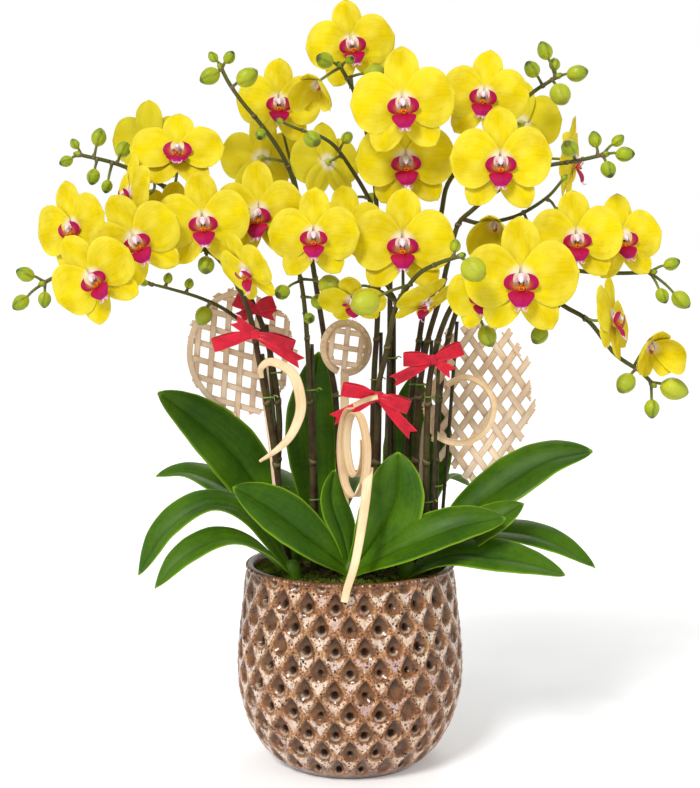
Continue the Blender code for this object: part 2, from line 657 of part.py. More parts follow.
def half_open_pieces(name, entry, collection):
    """Half-open bloom: an egg of folded petals with two sepals lifting from its base."""
    x, y, z, radius, yaw, pitch = entry
    facing = (Matrix.Rotation(math.radians(yaw), 3, "Z")
              @ Matrix.Rotation(math.radians(-pitch), 3, "X") @ Vector((0.0, -1.0, 0.0)))
    centre = Vector((x, y, z))
    pieces = [bud_piece(name + "_core", centre, radius, facing, collection)]
    side = facing.cross(Vector((0.0, 0.0, 1.0))).normalized()
    rise = side.cross(facing).normalized()
    base = centre - facing * radius * 0.6
    for index, lean in enumerate((rise, -rise * 0.6 + side * 0.6, -rise * 0.6 - side * 0.6)):
        out = lean.normalized()
        across = facing.cross(out).normalized()
        rows = []
        for t, half in ((0.0, 0.3), (0.45, 0.75), (0.8, 0.6)):
            spot = base + out * radius * (0.3 + 1.5 * t) + facing * radius * 1.5 * t
            rows.append([spot - across * radius * half, spot + across * radius * half])
        rows.append([base + out * radius * 1.8 + facing * radius * 1.9])
        pieces.append(strip(f"{name}_sepal_{index}", rows, PETAL_THICKNESS, collection))
    return pieces, base


def build_spike(name, collection, material):
    """Stem with its branches, stalks, buds and half-open blooms fused in one body."""
    spike = SPIKES[name]
    stem = [(*spike["stem"][0][:2], STEM_FOOT)] + spike["stem"]
    pieces = [tube(name + "_stem", stem, stem_radii(len(stem), STEM_RADIUS, STEM_TIP_RADIUS), 4,
                   collection)]
    for index, branch in enumerate(spike["branches"]):
        pieces.append(tube(f"{name}_branch_{index}", branch,
                           stem_radii(len(branch), BRANCH_RADIUS, 1.2), 4, collection))
    routes = [stem[2:]] + spike["branches"]
    for index, (x, y, z, radius) in enumerate(spike["buds"]):
        centre = Vector((x, y, z))
        root = nearest_on_routes(routes, centre)
        away = (centre - root).normalized()
        pieces.append(bud_piece(f"{name}_bud_{index}", centre, radius, away, collection))
        pieces.append(tube(f"{name}_bud_stalk_{index}", [root, centre], [1.1, 0.9], 4, collection))
    for index, entry in enumerate(HALF_OPEN.get(name, [])):
        opened, base = half_open_pieces(f"{name}_half_open_{index}", entry, collection)
        pieces += opened
        root = nearest_on_routes(routes, base)
        middle = (root + base) / 2 + Vector((0.0, 0.0, 3.0))
        pieces.append(tube(f"{name}_half_open_stalk_{index}", [root, middle, Vector(entry[:3])],
                           [1.2, 1.0, 1.0], 4, collection))
    for bloom_name, bloom in BLOOMS.items():
        if bloom[7] == name:
            pieces.append(stalk_to_bloom(f"{name}_{bloom_name}_stalk", bloom, routes, collection))
    mesh = union_of(name, pieces)
    smooth(mesh)
    return link_object(name, mesh, collection, material)


def tepal(name, angle, length, outline, lift, tilt, curl, collection):
    """Petal or sepal of a bloom: outline rows of (share of length, half width)."""
    turn = math.radians(angle)
    out = Vector((math.sin(turn), 0.0, math.cos(turn)))
    across = Vector((math.cos(turn), 0.0, -math.sin(turn)))
    rows = []
    for share, half in outline:
        forward = lift + tilt * share * length - curl * share * share * length
        spot = out * (TEPAL_ROOT + share * (length - TEPAL_ROOT)) + Vector((0.0, -forward, 0.0))
        rows.append([spot - across * half, spot + across * half] if half > 0 else [spot])
    return strip(name, rows, PETAL_THICKNESS, collection)


def bloom_mesh(name, petal_tilt, petal_curl, sepal_tilt, collection):
    """Mesh of an open bloom: three sepals, two petals, column and three-lobed lip."""
    working = bmesh.new()
    bmesh.ops.create_cone(
        working, cap_ends=True, segments=len(HUB_CORNERS), radius1=HUB_RADIUS * MM,
        radius2=HUB_RADIUS * 0.8 * MM, depth=(HUB_BACK + COLUMN_REACH) * MM)
    for vertex in working.verts:
        sector = math.floor(math.atan2(vertex.co.y, vertex.co.x) / math.tau * len(HUB_CORNERS) + 0.01)
        corner = math.radians(HUB_CORNERS[sector])
        radius = math.hypot(vertex.co.x, vertex.co.y)
        depth = (HUB_BACK - COLUMN_REACH) / 2 * MM - vertex.co.z
        vertex.co = Vector((math.sin(corner) * radius, depth, math.cos(corner) * radius))
    bmesh.ops.recalc_face_normals(working, faces=working.faces)
    pieces = [link_object(name + "_hub", mesh_from_bmesh(name, working), collection)]
    pieces.append(tepal(name + "_dorsal", 0.0, 37.0, DORSAL_OUTLINE, 0.0, sepal_tilt, 0.02,
                        collection))
    for side in (-1, 1):
        pieces.append(tepal(name + f"_sepal_{side}", side * 146.0, 36.0, SEPAL_OUTLINE, 0.2,
                            sepal_tilt, 0.04, collection))
        pieces.append(tepal(name + f"_petal_{side}", side * 86.0, 35.0, PETAL_OUTLINE, 2.8,
                            petal_tilt, petal_curl, collection))
    lip = [[(-half, -forward, height), (half, -forward, height)]
           for half, forward, height in LIP_OUTLINE]
    pieces.append(strip(name + "_lip", lip, 1.2, collection))
    mesh = union_of(name, pieces)
    smooth(mesh, 30.0)
    return mesh


def build_blooms(collection, material):
    """Open blooms, in three shapes shared by turns."""
    shapes = [bloom_mesh("bloom_flat", 0.06, 0.10, 0.03, collection),
              bloom_mesh("bloom_cupped", 0.14, 0.10, 0.08, collection),
              bloom_mesh("bloom_reflexed", 0.04, 0.18, 0.00, collection)]
    for shape in shapes:
        shape.materials.clear()
        shape.materials.append(material)
    for index, (name, bloom) in enumerate(BLOOMS.items()):
        made = link_object(name, shapes[index % len(shapes)], collection)
        made.matrix_world = bloom_matrix(bloom)


def leaf_spine(points, share):
    """Point and direction at a share of a leaf's smooth spine."""
    count = len(points) - 1
    place = min(share * count, count - 1e-6)
    index = int(place)
    t = place - index
    knots = [Vector(points[max(index - 1, 0)]), Vector(points[index]), Vector(points[index + 1]),
             Vector(points[min(index + 2, count)])]
    before, start, end, after = knots
    spot = 0.5 * (2 * start + (end - before) * t + (2 * before - 5 * start + 4 * end - after) * t * t
                  + (3 * start - before - 3 * end + after) * t ** 3)
    direction = (end - start).normalized()
    return spot, direction


def leaf_piece(name, points, breadth, upper, collection):
    """Leaf blade with a shallow keel, along its spine, widest past the middle."""
    rows = []
    for share, width in LEAF_PROFILE:
        spot, direction = leaf_spine(points, share)
        across = direction.cross(Vector(upper)).normalized()
        normal = across.cross(direction).normalized()
        half = breadth / 2 * width
        lift = normal * half * 0.22
        if half > 0:
            rows.append([spot - across * half + lift, spot, spot + across * half + lift])
        else:
            rows.append([spot])
    return strip(name, rows, LEAF_THICKNESS, collection)


def build_rosette(name, collection, material):
    """Leaves of one plant fused with its short crown."""
    (x, y), leaves = ROSETTES[name]
    working = bmesh.new()
    bmesh.ops.create_cone(
        working, cap_ends=True, segments=HOLE_SIDES, radius1=CROWN_RADIUS * MM, radius2=CROWN_RADIUS * MM,
        depth=(CROWN_TOP - STEM_FOOT) * MM,
        matrix=Matrix.Translation(millimetres((x, y, (CROWN_TOP + STEM_FOOT) / 2))))
    pieces = [link_object(name + "_crown", mesh_from_bmesh(name, working), collection)]
    for index, (points, breadth, upper) in enumerate(leaves):
        pieces.append(leaf_piece(f"{name}_{index}", points, breadth, upper, collection))
    mesh = union_of(name, pieces)
    smooth(mesh, 30.0)
    return link_object(name, mesh, collection, material)


def stake_piece(name, points, across, width, collection):
    """Long flat bamboo strip standing from a panel to its hole."""
    shift = Vector(across) * width / 2
    rows = [[Vector(point) - shift, Vector(point) + shift] for point in points]
    return strip(name, rows, BAMBOO_THICKNESS * 1.6, collection)


def build_panel(name, collection, material):
    """Woven panel: a lattice with open cells inside a rounded outline, on its stake."""
    panel = PANELS[name]
    pitch, width = panel["pitch"], panel["strip"]
    half_x, half_z = panel["half"]
    centre = Vector(panel["centre"])
    slanted = panel["slanted"]
    reach = 6
    corners = {}
    working = bmesh.new()

    def corner(column, row, side_x, side_z):
        """Lattice corner beside the crossing of a column and a row."""
        key = (column, row, side_x, side_z)
        if key not in corners:
            u = column * pitch + side_x * width / 2
            v = row * pitch + side_z * width / 2
            if slanted:
                u, v = (u + v) * math.cos(WEAVE_ANGLE), (v - u) * math.sin(WEAVE_ANGLE)
            corners[key] = working.verts.new(millimetres(Vector((u, 0.0, v)) + centre))
        return corners[key]

    def inside(column, row):
        """Whether a crossing lies in the panel's outline."""
        x, z = column * pitch, row * pitch
        if slanted:
            x, z = (x + z) * math.cos(WEAVE_ANGLE), (z - x) * math.sin(WEAVE_ANGLE)
        narrowing = 1.0 if z > 0 else 1.0 - 0.35 * (z / half_z) ** 2
        return (x / (half_x * narrowing)) ** 2 + (z / half_z) ** 2 <= 1.0

    crossings = [(column, row) for column in range(-reach, reach + 1)
                 for row in range(-reach, reach + 1) if inside(column, row)]
    for column, row in crossings:
        working.faces.new([corner(column, row, -1, -1), corner(column, row, 1, -1),
                           corner(column, row, 1, 1), corner(column, row, -1, 1)])
        if (column + 1, row) in crossings:
            working.faces.new([corner(column, row, 1, -1), corner(column + 1, row, -1, -1),
                               corner(column + 1, row, -1, 1), corner(column, row, 1, 1)])
        if (column, row + 1) in crossings:
            working.faces.new([corner(column, row, -1, 1), corner(column, row, 1, 1),
                               corner(column, row + 1, 1, -1), corner(column, row + 1, -1, -1)])
    lattice = link_object(name + "_lattice", mesh_from_bmesh(name, working), collection)
    wall = lattice.modifiers.new("wall", "SOLIDIFY")
    wall.thickness = BAMBOO_THICKNESS * MM
    wall.offset = 0.0
    mesh = evaluated_mesh(lattice)
    drop([lattice])
    lattice = link_object(name + "_lattice", mesh, collection)
    stake = stake_piece(name + "_stake", panel["stake"], (1.0, 0.0, 0.0), STAKE_WIDTH, collection)
    mesh = union_of(name, [lattice, stake])
    return link_object(name, mesh, collection, material)


def build_hoop(collection, material):
    """Small bent bamboo hoop on its stake."""
    centre = Vector(HOOP["centre"])
    wide, high = HOOP["radii"]
    rows = []
    for index in range(HOOP_STEPS + 1):
        angle = math.radians(-100.0 + index * 350.0 / HOOP_STEPS)
        radial = Vector((math.cos(angle), 0.0, math.sin(angle)))
        spot = centre + Vector((radial.x * wide, 0.0, radial.z * high))
        shift = Vector((0.0, HOOP["width"] / 2, 0.0))
        rows.append([spot - shift, spot + shift])
    ring = strip("hoop_ring", rows, BAMBOO_THICKNESS, collection)
    stake = stake_piece("hoop_stake", HOOP["stake"], (1.0, 0.0, 0.0), STAKE_WIDTH, collection)
    mesh = union_of("bamboo_hoop", [ring, stake])
    return link_object("bamboo_hoop", mesh, collection, material)


def stem_point(spike, height):
    """Point of a spike's stem at a height."""
    route = SPIKES[spike]["stem"]
    for first, second in zip(route, route[1:]):
        if first[2] <= height <= second[2]:
            share = (height - first[2]) / (second[2] - first[2])
            return Vector(first).lerp(Vector(second), share)
    return Vector(route[-1])


def ribbon(name, route, widths, collection):
    """Ribbon strip along a route in the bow's plane, its width square to its run in that plane."""
    rows = []
    for index, point in enumerate(route):
        ahead = Vector(route[min(index + 1, len(route) - 1)])
        behind = Vector(route[max(index - 1, 0)])
        run = ahead - behind
        run.y = 0.0
        across = Vector((-run.z, 0.0, run.x)).normalized() * widths[index] / 2
        rows.append([Vector(point) - across, Vector(point) + across])
    return strip(name, rows, RIBBON_THICKNESS, collection)


def build_bow(name, collection, material):
    """Ribbon bow on the front of a stem: knot, two loops and two tails."""
    spike, height, shift, left, right, left_tail, right_tail = BOWS[name]
    knot = stem_point(spike, height) + Vector((shift, -BOW_STANDOFF, 0.0))
    working = bmesh.new()
    bmesh.ops.create_cube(working, size=1.0, matrix=Matrix.Translation(millimetres(knot))
                          @ Matrix.Diagonal((*millimetres(KNOT_SIZE), 1.0)))
    pieces = [link_object(name + "_knot", mesh_from_bmesh(name, working), collection)]
    for index, (dx, dz) in enumerate((left, right)):
        reach = Vector((dx, 0.0, dz))
        route = [knot, knot + reach * 0.5 + Vector((0.0, 0.6, 1.0)),
                 knot + reach + Vector((0.0, -0.4, 0.0))]
        pieces.append(ribbon(f"{name}_loop_{index}", route, [4.0, 8.5, 9.5], collection))
    for index, (dx, dz) in enumerate((left_tail, right_tail)):
        reach = Vector((dx, 0.0, dz))
        route = [knot + Vector((0.0, 0.4, -0.5)), knot + reach * 0.5 + Vector((0.0, -3.6, 0.0)),
                 knot + reach + Vector((0.0, -3.2, 0.0))]
        pieces.append(ribbon(f"{name}_tail_{index}", route, [4.0, 7.5, 8.5], collection))
    mesh = union_of(name, pieces)
    return link_object(name, mesh, collection, material)


def build_sickle(collection, material):
    """Sickle-shaped curl whose face lies towards the front."""
    last = len(SICKLE_ROUTE) - 1
    widths = [SICKLE_WIDTH * (0.45 + 0.55 * math.sin(math.pi * index / last))
              for index in range(len(SICKLE_ROUTE))]
    made = ribbon("curl_left_strip", SICKLE_ROUTE, widths, collection)
    return link_object("curl_left", union_of("curl_left", [made]), collection, material)


def build_loop(collection, material):
    """Long hanging loop of bamboo with a straight tail over the pot's front rim."""
    centre = Vector(LOOP_CENTRE)
    across = Vector(LOOP_AXIS).normalized()
    sideways = Vector((across.y, -across.x, 0.0))
    narrow, tall = LOOP_RADII
    rows = []
    for index in range(LOOP_STEPS + 1):
        angle = math.radians(LOOP_START + LOOP_TURN * index / LOOP_STEPS)
        spot = (centre + sideways * math.cos(angle) * narrow
                + Vector((0.0, 0.0, math.sin(angle) * tall)))
        rows.append([spot - across * LOOP_WIDTH / 2, spot + across * LOOP_WIDTH / 2])
    loop = strip("loop_ring", rows, BAMBOO_THICKNESS, collection)
    tail = stake_piece("loop_tail", LOOP_TAIL, (1.0, 0.0, 0.0), LOOP_WIDTH, collection)
    link = stake_piece("loop_link", LOOP_LINK, (0.1, 0.1, 1.0), LOOP_WIDTH / 2, collection)
    mesh = union_of("curl_centre", [loop, tail, link])
    return link_object("curl_centre", mesh, collection, material)


def build_ring(collection, material):
    """Open ring of thin bamboo in front of the right panel."""
    shift = Vector((0.0, RING_WIDTH / 2, 0.0))
    rows = [[Vector(point) - shift, Vector(point) + shift] for point in RING_ROUTE]
    made = strip("ring_strip", rows, BAMBOO_THICKNESS, collection)
    return link_object("curl_right", union_of("curl_right", [made]), collection, material)


def main():
    """Build every piece of the potted orchid."""
    clear_scene()
    parts = make_collection("potted_orchid")
    cutters = make_collection("cutters")
    glaze = make_material("brown_glaze", (0.23, 0.11, 0.06), 0.18)
    bark = make_material("bark_and_moss", (0.07, 0.06, 0.03), 0.95)
    leaf = make_material("leaf", (0.03, 0.12, 0.02), 0.35)
    stem = make_material("stem", (0.08, 0.09, 0.03), 0.5)
    petal = make_material("yellow_petal", (0.90, 0.74, 0.03), 0.5)
    bamboo = make_material("bamboo", (0.74, 0.52, 0.30), 0.5)
    ribbon_red = make_material("red_satin", (0.62, 0.01, 0.03), 0.35)
    build_pot(parts, glaze)
    build_medium(parts, cutters, bark)
    for name in SPIKES:
        build_spike(name, parts, stem)
    build_blooms(parts, petal)
    for name in ROSETTES:
        build_rosette(name, parts, leaf)
    for name in PANELS:
        build_panel(name, parts, bamboo)
    build_hoop(parts, bamboo)
    for name in BOWS:
        build_bow(name, parts, ribbon_red)
    build_sickle(parts, bamboo)
    build_loop(parts, bamboo)
    build_ring(parts, bamboo)
    drop(cutters.objects)


main()
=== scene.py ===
"""Looks of a potted moth orchid: yellow blooms, glossy leaves, woven bamboo and a dimpled glazed pot.

Lengths in the tables and in the shapes are millimetres, and a shape becomes metres when it is made
a Blender object. Blooms face -Y, and the pot stands at the origin.
"""
import logging
import math
from dataclasses import dataclass, field
from enum import Enum
from typing import Iterable, Sequence

import bpy
import numpy as np
from mathutils import Matrix, Vector


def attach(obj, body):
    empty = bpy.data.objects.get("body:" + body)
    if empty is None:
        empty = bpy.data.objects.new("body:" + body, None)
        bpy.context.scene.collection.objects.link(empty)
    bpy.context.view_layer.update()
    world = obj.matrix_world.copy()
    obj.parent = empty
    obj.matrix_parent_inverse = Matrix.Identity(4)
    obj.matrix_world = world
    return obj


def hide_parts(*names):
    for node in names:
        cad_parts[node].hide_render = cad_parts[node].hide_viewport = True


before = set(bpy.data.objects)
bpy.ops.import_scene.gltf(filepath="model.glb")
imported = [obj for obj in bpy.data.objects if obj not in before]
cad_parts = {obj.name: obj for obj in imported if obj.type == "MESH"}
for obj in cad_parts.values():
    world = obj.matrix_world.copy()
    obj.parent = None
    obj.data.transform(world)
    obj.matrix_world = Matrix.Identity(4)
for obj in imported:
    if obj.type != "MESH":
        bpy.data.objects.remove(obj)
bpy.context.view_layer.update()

BODY = "root"
MM = 0.001
FOOT_HEIGHT = 134.0
FORWARD = np.array([0.0, -1.0, 0.0])
UP = np.array([0.0, 0.0, 1.0])
GEOMETRY_TREE = "GeometryNodeTree"

log = logging.getLogger("potted_orchid")

Triple = tuple[float, float, float]
Point = Triple
Colour = Triple
Pair = tuple[float, float]
Pairs = tuple[Pair, ...]
Route = Sequence[Sequence[float]]
Marks = dict[str, object]
Array = np.ndarray
Draws = np.random.Generator
Tree = bpy.types.NodeTree
Mesh = bpy.types.Mesh
Item = bpy.types.Object


class Slot(Enum):
    """Material slots of the record."""

    GLAZE = "brown_glaze"
    MEDIUM = "bark_and_moss"
    STEM = "green_stem"
    PETAL = "yellow_petal"
    LEAF = "leaf"
    BAMBOO = "bamboo"
    SATIN = "red_satin"


class Signal:
    """Output of a node, joined to others by arithmetic that makes Math nodes."""

    def __init__(self, graph: "Graph", socket: bpy.types.NodeSocket) -> None:
        """Keep the graph and the socket."""
        self.graph = graph
        self.socket = socket

    def __add__(self, other: "Signal | float") -> "Signal":
        """Sum."""
        return self.graph.math("ADD", self, other)

    def __sub__(self, other: "Signal | float") -> "Signal":
        """Difference."""
        return self.graph.math("SUBTRACT", self, other)

    def __rsub__(self, other: float) -> "Signal":
        """Difference from a number."""
        return self.graph.math("SUBTRACT", other, self)

    def __mul__(self, other: "Signal | float") -> "Signal":
        """Product."""
        return self.graph.math("MULTIPLY", self, other)

    def __truediv__(self, other: "Signal | float") -> "Signal":
        """Quotient."""
        return self.graph.math("DIVIDE", self, other)

    def squared(self) -> "Signal":
        """Product with itself."""
        return self * self

    def absolute(self) -> "Signal":
        """Absolute value."""
        return self.graph.math("ABSOLUTE", self)

    def nearest(self) -> "Signal":
        """Nearest whole number."""
        return self.graph.math("ROUND", self)

    def root(self) -> "Signal":
        """Square root."""
        return self.graph.math("SQRT", self)

    def above(self, limit: "Signal | float") -> "Signal":
        """One where the value is over the limit."""
        return self.graph.math("GREATER_THAN", self, limit)

    def most(self, other: "Signal | float") -> "Signal":
        """Larger of two values."""
        return self.graph.math("MAXIMUM", self, other)

    def step(self, low: float, high: float) -> "Signal":
        """Smooth step from 0 at low to 1 at high, or falling where low is the larger.

        Args:
            low: Value where the result is 0.
            high: Value where the result is 1.

        Returns:
            The step's result.
        """
        start, end, to_start, to_end = (low, high, 0.0, 1.0) if low < high else (high, low, 1.0, 0.0)
        return self.graph.signal("ShaderNodeMapRange", "Result", interpolation_type="SMOOTHSTEP",
                                 Value=self, From_Min=start, From_Max=end, To_Min=to_start,
                                 To_Max=to_end)


class Graph:
    """Short way to add nodes to a shader tree or a geometry tree."""

    def __init__(self, tree: Tree) -> None:
        """Keep the tree."""
        self.tree = tree

    def feed(self, socket: bpy.types.NodeSocket, value: object) -> None:
        """Link a signal to an input, or set the input's own value.

        Args:
            socket: Input socket.
            value: Signal, colour of three numbers or plain value.
        """
        if isinstance(value, Signal):
            self.tree.links.new(value.socket, socket)
        elif isinstance(value, tuple) and socket.type == "RGBA":
            socket.default_value = (*value, 1.0)
        else:
            socket.default_value = value

    def node(self, kind: str, **given: object) -> bpy.types.Node:
        """Add a node.

        Args:
            kind: Blender's name of the node type.
            given: The node's properties in lower case, and values or signals for its inputs by
                their names, with underscores for spaces.

        Returns:
            The new node.
        """
        made = self.tree.nodes.new(kind)
        for key in filter(str.islower, given):
            setattr(made, key, given[key])
        for key, value in given.items():
            if not key.islower():
                self.feed(made.inputs[key.replace("_", " ")], value)
        return made

    def signal(self, kind: str, output: str | int = 0, **given: object) -> Signal:
        """Add a node and take one of its outputs, the first where none is named."""
        return Signal(self, self.node(kind, **given).outputs[output])

    def geo(self, kind: str, output: str | int = 0, **given: object) -> Signal:
        """Add a geometry node and take one of its outputs."""
        return self.signal("GeometryNode" + kind, output, **given)

    def math(self, operation: str, *values: object, kind: str = "Math") -> Signal:
        """Add a Math or VectorMath node.

        Args:
            operation: Blender's name of the operation.
            values: Values or signals it works on.
            kind: Math or VectorMath.

        Returns:
            The result.
        """
        made = self.node("ShaderNode" + kind, operation=operation)
        for socket, value in zip(made.inputs, values):
            self.feed(socket, value)
        return Signal(self, made.outputs[0])

    def attribute(self, name: str, output: str = "Fac") -> Signal:
        """Value or colour of a named attribute in a shader tree."""
        return self.signal("ShaderNodeAttribute", output, attribute_name=name)

    def named(self, name: str | Signal, kind: str = "FLOAT") -> Signal:
        """Value of a named attribute in a geometry tree."""
        return self.geo("InputNamedAttribute", data_type=kind, Name=name)

    def place(self, output: str = "Object") -> Signal:
        """Object coordinates, or others that the node gives."""
        return self.signal("ShaderNodeTexCoord", output)

    def split(self, vector: Signal) -> list[Signal]:
        """The three parts of a vector."""
        made = self.node("ShaderNodeSeparateXYZ", Vector=vector)
        return [Signal(self, output) for output in made.outputs]

    def point(self, x: object = 0.0, y: object = 0.0, z: object = 0.0) -> Signal:
        """Vector of three parts."""
        return self.signal("ShaderNodeCombineXYZ", X=x, Y=y, Z=z)

    def scaled(self, vector: Signal, factors: Point) -> Signal:
        """Vector with its parts multiplied by their factors."""
        return self.math("MULTIPLY", vector, factors, kind="VectorMath")

    def noise(self, vector: Signal, scale: object, detail: float = 2.0, output: str = "Fac") -> Signal:
        """Noise texture."""
        return self.signal("ShaderNodeTexNoise", output, Vector=vector, Scale=scale, Detail=detail)

    def chance(self, vector: Signal) -> Signal:
        """Number from 0 to 1 that is drawn for a vector."""
        return self.signal("ShaderNodeTexWhiteNoise", "Value", noise_dimensions="3D", Vector=vector)

    def random(self, low: object, high: object, kind: str = "FLOAT_VECTOR", **given: object) -> Signal:
        """Value drawn for each point between two limits.

        Args:
            low: Least value.
            high: Greatest value.
            kind: Data type of the node.
            given: Other inputs of the node.

        Returns:
            The drawn value.
        """
        made = self.node("FunctionNodeRandomValue", data_type=kind, **given)
        for socket, value in zip([socket for socket in made.inputs if socket.enabled], (low, high)):
            self.feed(socket, value)
        return Signal(self, next(output for output in made.outputs if output.enabled))

    def stored(self, geometry: Signal, kind: str = "FLOAT", domain: str = "POINT",
               **values: object) -> Signal:
        """Store values on a geometry.

        Args:
            geometry: Geometry that takes them.
            kind: Data type of the values.
            domain: Points or corners that they belong to.
            values: Values by attribute name.

        Returns:
            The geometry with its attributes.
        """
        for name, value in values.items():
            geometry = self.geo("StoreNamedAttribute", data_type=kind, domain=domain,
                                Geometry=geometry, Name=name, Value=value)
        return geometry

    def joined(self, *parts: Signal) -> Signal:
        """Join geometries.

        Args:
            parts: Geometries in their order.

        Returns:
            The joined geometry.
        """
        made = self.node("GeometryNodeJoinGeometry")
        for part in parts:
            self.tree.links.new(part.socket, made.inputs[0])
        return Signal(self, made.outputs[0])

    def blend(self, share: "Signal | float", first: object, second: object, mode: str = "MIX") -> Signal:
        """Colour between two colours.

        Args:
            share: Share of the second colour.
            first: Colour at share 0.
            second: Colour at share 1.
            mode: Blend type of the Mix node.

        Returns:
            The blended colour.
        """
        made = self.node("ShaderNodeMix", data_type="RGBA", blend_type=mode)
        colours = [socket for socket in made.inputs if socket.type == "RGBA"]
        for socket, value in zip((made.inputs["Factor"], *colours), (share, first, second)):
            self.feed(socket, value)
        return Signal(self, next(out for out in made.outputs if out.type == "RGBA"))

    def grouped(self, group: Tree, output: str, **given: object) -> Signal:
        """Place a node group and take one of its outputs."""
        kind = "ShaderNodeGroup" if self.tree.type == "SHADER" else "GeometryNodeGroup"
        return self.signal(kind, output, node_tree=group, **given)


class Group(Graph):
    """Node group that is being built, with its named inputs at hand."""

    def __init__(self, name: str, kind: str, outputs: dict[str, str], **inputs: str) -> None:
        """Make the group's sockets.

        Args:
            name: Name of the group.
            kind: Type of the tree.
            outputs: Names of the outputs, parted by commas, by socket type.
            inputs: Names of the inputs in the same way.
        """
        super().__init__(bpy.data.node_groups.new(name, kind))
        for direction, sockets in (("INPUT", inputs), ("OUTPUT", outputs)):
            for kind_of_socket, labels in sockets.items():
                for label in labels.split(", "):
                    self.tree.interface.new_socket(name=label, in_out=direction,
                                                   socket_type="NodeSocket" + kind_of_socket)
        self.entry = self.node("NodeGroupInput")
        self.leave = self.node("NodeGroupOutput")

    def __getitem__(self, name: str) -> Signal:
        """Input of the group by its name."""
        return Signal(self, self.entry.outputs[name])

    def finished(self, **outputs: Signal) -> Tree:
        """Feed the outputs by their names and return the tree.

        Args:
            outputs: Signals by the outputs' names.

        Returns:
            The tree.
        """
        for name, value in outputs.items():
            self.feed(self.leave.inputs[name], value)
        return self.tree

    def dressed(self, geometry: Signal, smooth: bool = True) -> Tree:
        """End a geometry tree with its finish.

        Args:
            geometry: Geometry with its instances made real.
            smooth: Whether it is shaded smooth.

        Returns:
            The tree.
        """
        if smooth:
            geometry = self.geo("SetShadeSmooth", Geometry=geometry)
        return self.finished(Geometry=self.geo("SetMaterial", Geometry=geometry,
                                               Material=self["Finish"]))


class Effects:
    """Shader groups that several finishes use."""

    def __init__(self) -> None:
        """Build each group once."""
        self.fibres = self._fibres()
        self.mottle = self._mottle()
        self.specks = self._specks()

    @staticmethod
    def _fibres() -> Tree:
        """Long fine streaks along the surface's second coordinate.

        Returns:
            The group.
        """
        group = Group("fibres", "ShaderNodeTree", {"Float": "Mask, Height"}, Vector="Vector",
                      Float="Across, Along")
        across, along, _ = group.split(group["Vector"])
        stretched = group.point(across * group["Across"], along * group["Along"])
        broad = group.noise(stretched, 1.0, 3.0)
        fine = group.noise(stretched, 3.7, 2.0)
        return group.finished(Mask=broad.step(0.35, 0.68), Height=broad * 0.6 + fine * 0.4)

    @staticmethod
    def _mottle() -> Tree:
        """Soft uneven patches.

        Returns:
            The group.
        """
        group = Group("mottle", "ShaderNodeTree", {"Float": "Mask, Fine"}, Vector="Vector", Float="Scale")
        broad = group.noise(group["Vector"], group["Scale"], 4.0)
        fine = group.noise(group["Vector"], group["Scale"] * 5.0, 3.0)
        return group.finished(Mask=broad.step(0.36, 0.64), Fine=fine.step(0.3, 0.7))

    @staticmethod
    def _specks() -> Tree:
        """Scattered small spots of uneven size.

        Returns:
            The group.
        """
        group = Group("specks", "ShaderNodeTree", {"Float": "Mask"}, Vector="Vector",
                      Float="Scale, Size, Share")
        wander = group.noise(group["Vector"], group["Scale"] * 1.5, 2.0, "Color")
        moved = group.math("ADD", group.scaled(wander, (0.002,) * 3), group["Vector"], kind="VectorMath")
        cells = group.node("ShaderNodeTexVoronoi", Vector=moved, Scale=group["Scale"])
        chance, size, _ = group.split(Signal(group, cells.outputs["Color"]))
        reach = group["Size"] * (size + 0.35)
        near = (reach - Signal(group, cells.outputs["Distance"])).step(0.0, 0.06)
        return group.finished(Mask=near * (group["Share"] - chance).above(0.0))


EFFECTS = Effects()


class Paint(Graph):
    """Graph of one material, with the shared effects at hand."""

    def mottle(self, scale: float, output: str = "Mask", vector: Signal | None = None) -> Signal:
        """Soft patches over the object, or over another vector."""
        return self.grouped(EFFECTS.mottle, output, Vector=vector or self.place(), Scale=scale)

    def fibres(self, across: float, along: float, output: str = "Mask") -> Signal:
        """Streaks along the surface."""
        return self.grouped(EFFECTS.fibres, output, Vector=self.place("UV"), Across=across, Along=along)

    def layered(self, base: object, *layers: tuple[object, object]) -> Signal:
        """Colour with others laid over it, each with its share.

        Args:
            base: Lowest colour.
            layers: Share and colour of each layer.

        Returns:
            The colour with all its layers.
        """
        for share, colour in layers:
            base = self.blend(share, base, colour)
        return base

    def dress(self, colour: Signal, roughness: object, height: Signal, strength: float,
              distance: float) -> None:
        """Feed the shader.

        Args:
            colour: Base colour.
            roughness: Roughness, a signal or one number.
            height: Height of the bump, 0 to 1.
            strength: Strength of the bump.
            distance: Relief in metres for a height of 1.
        """
        relief = self.signal("ShaderNodeBump", "Normal", Height=height, Strength=strength,
                             Distance=distance)
        for name, value in (("Base Color", colour), ("Roughness", roughness), ("Normal", relief)):
            self.feed(self.tree.nodes["Principled BSDF"].inputs[name], value)


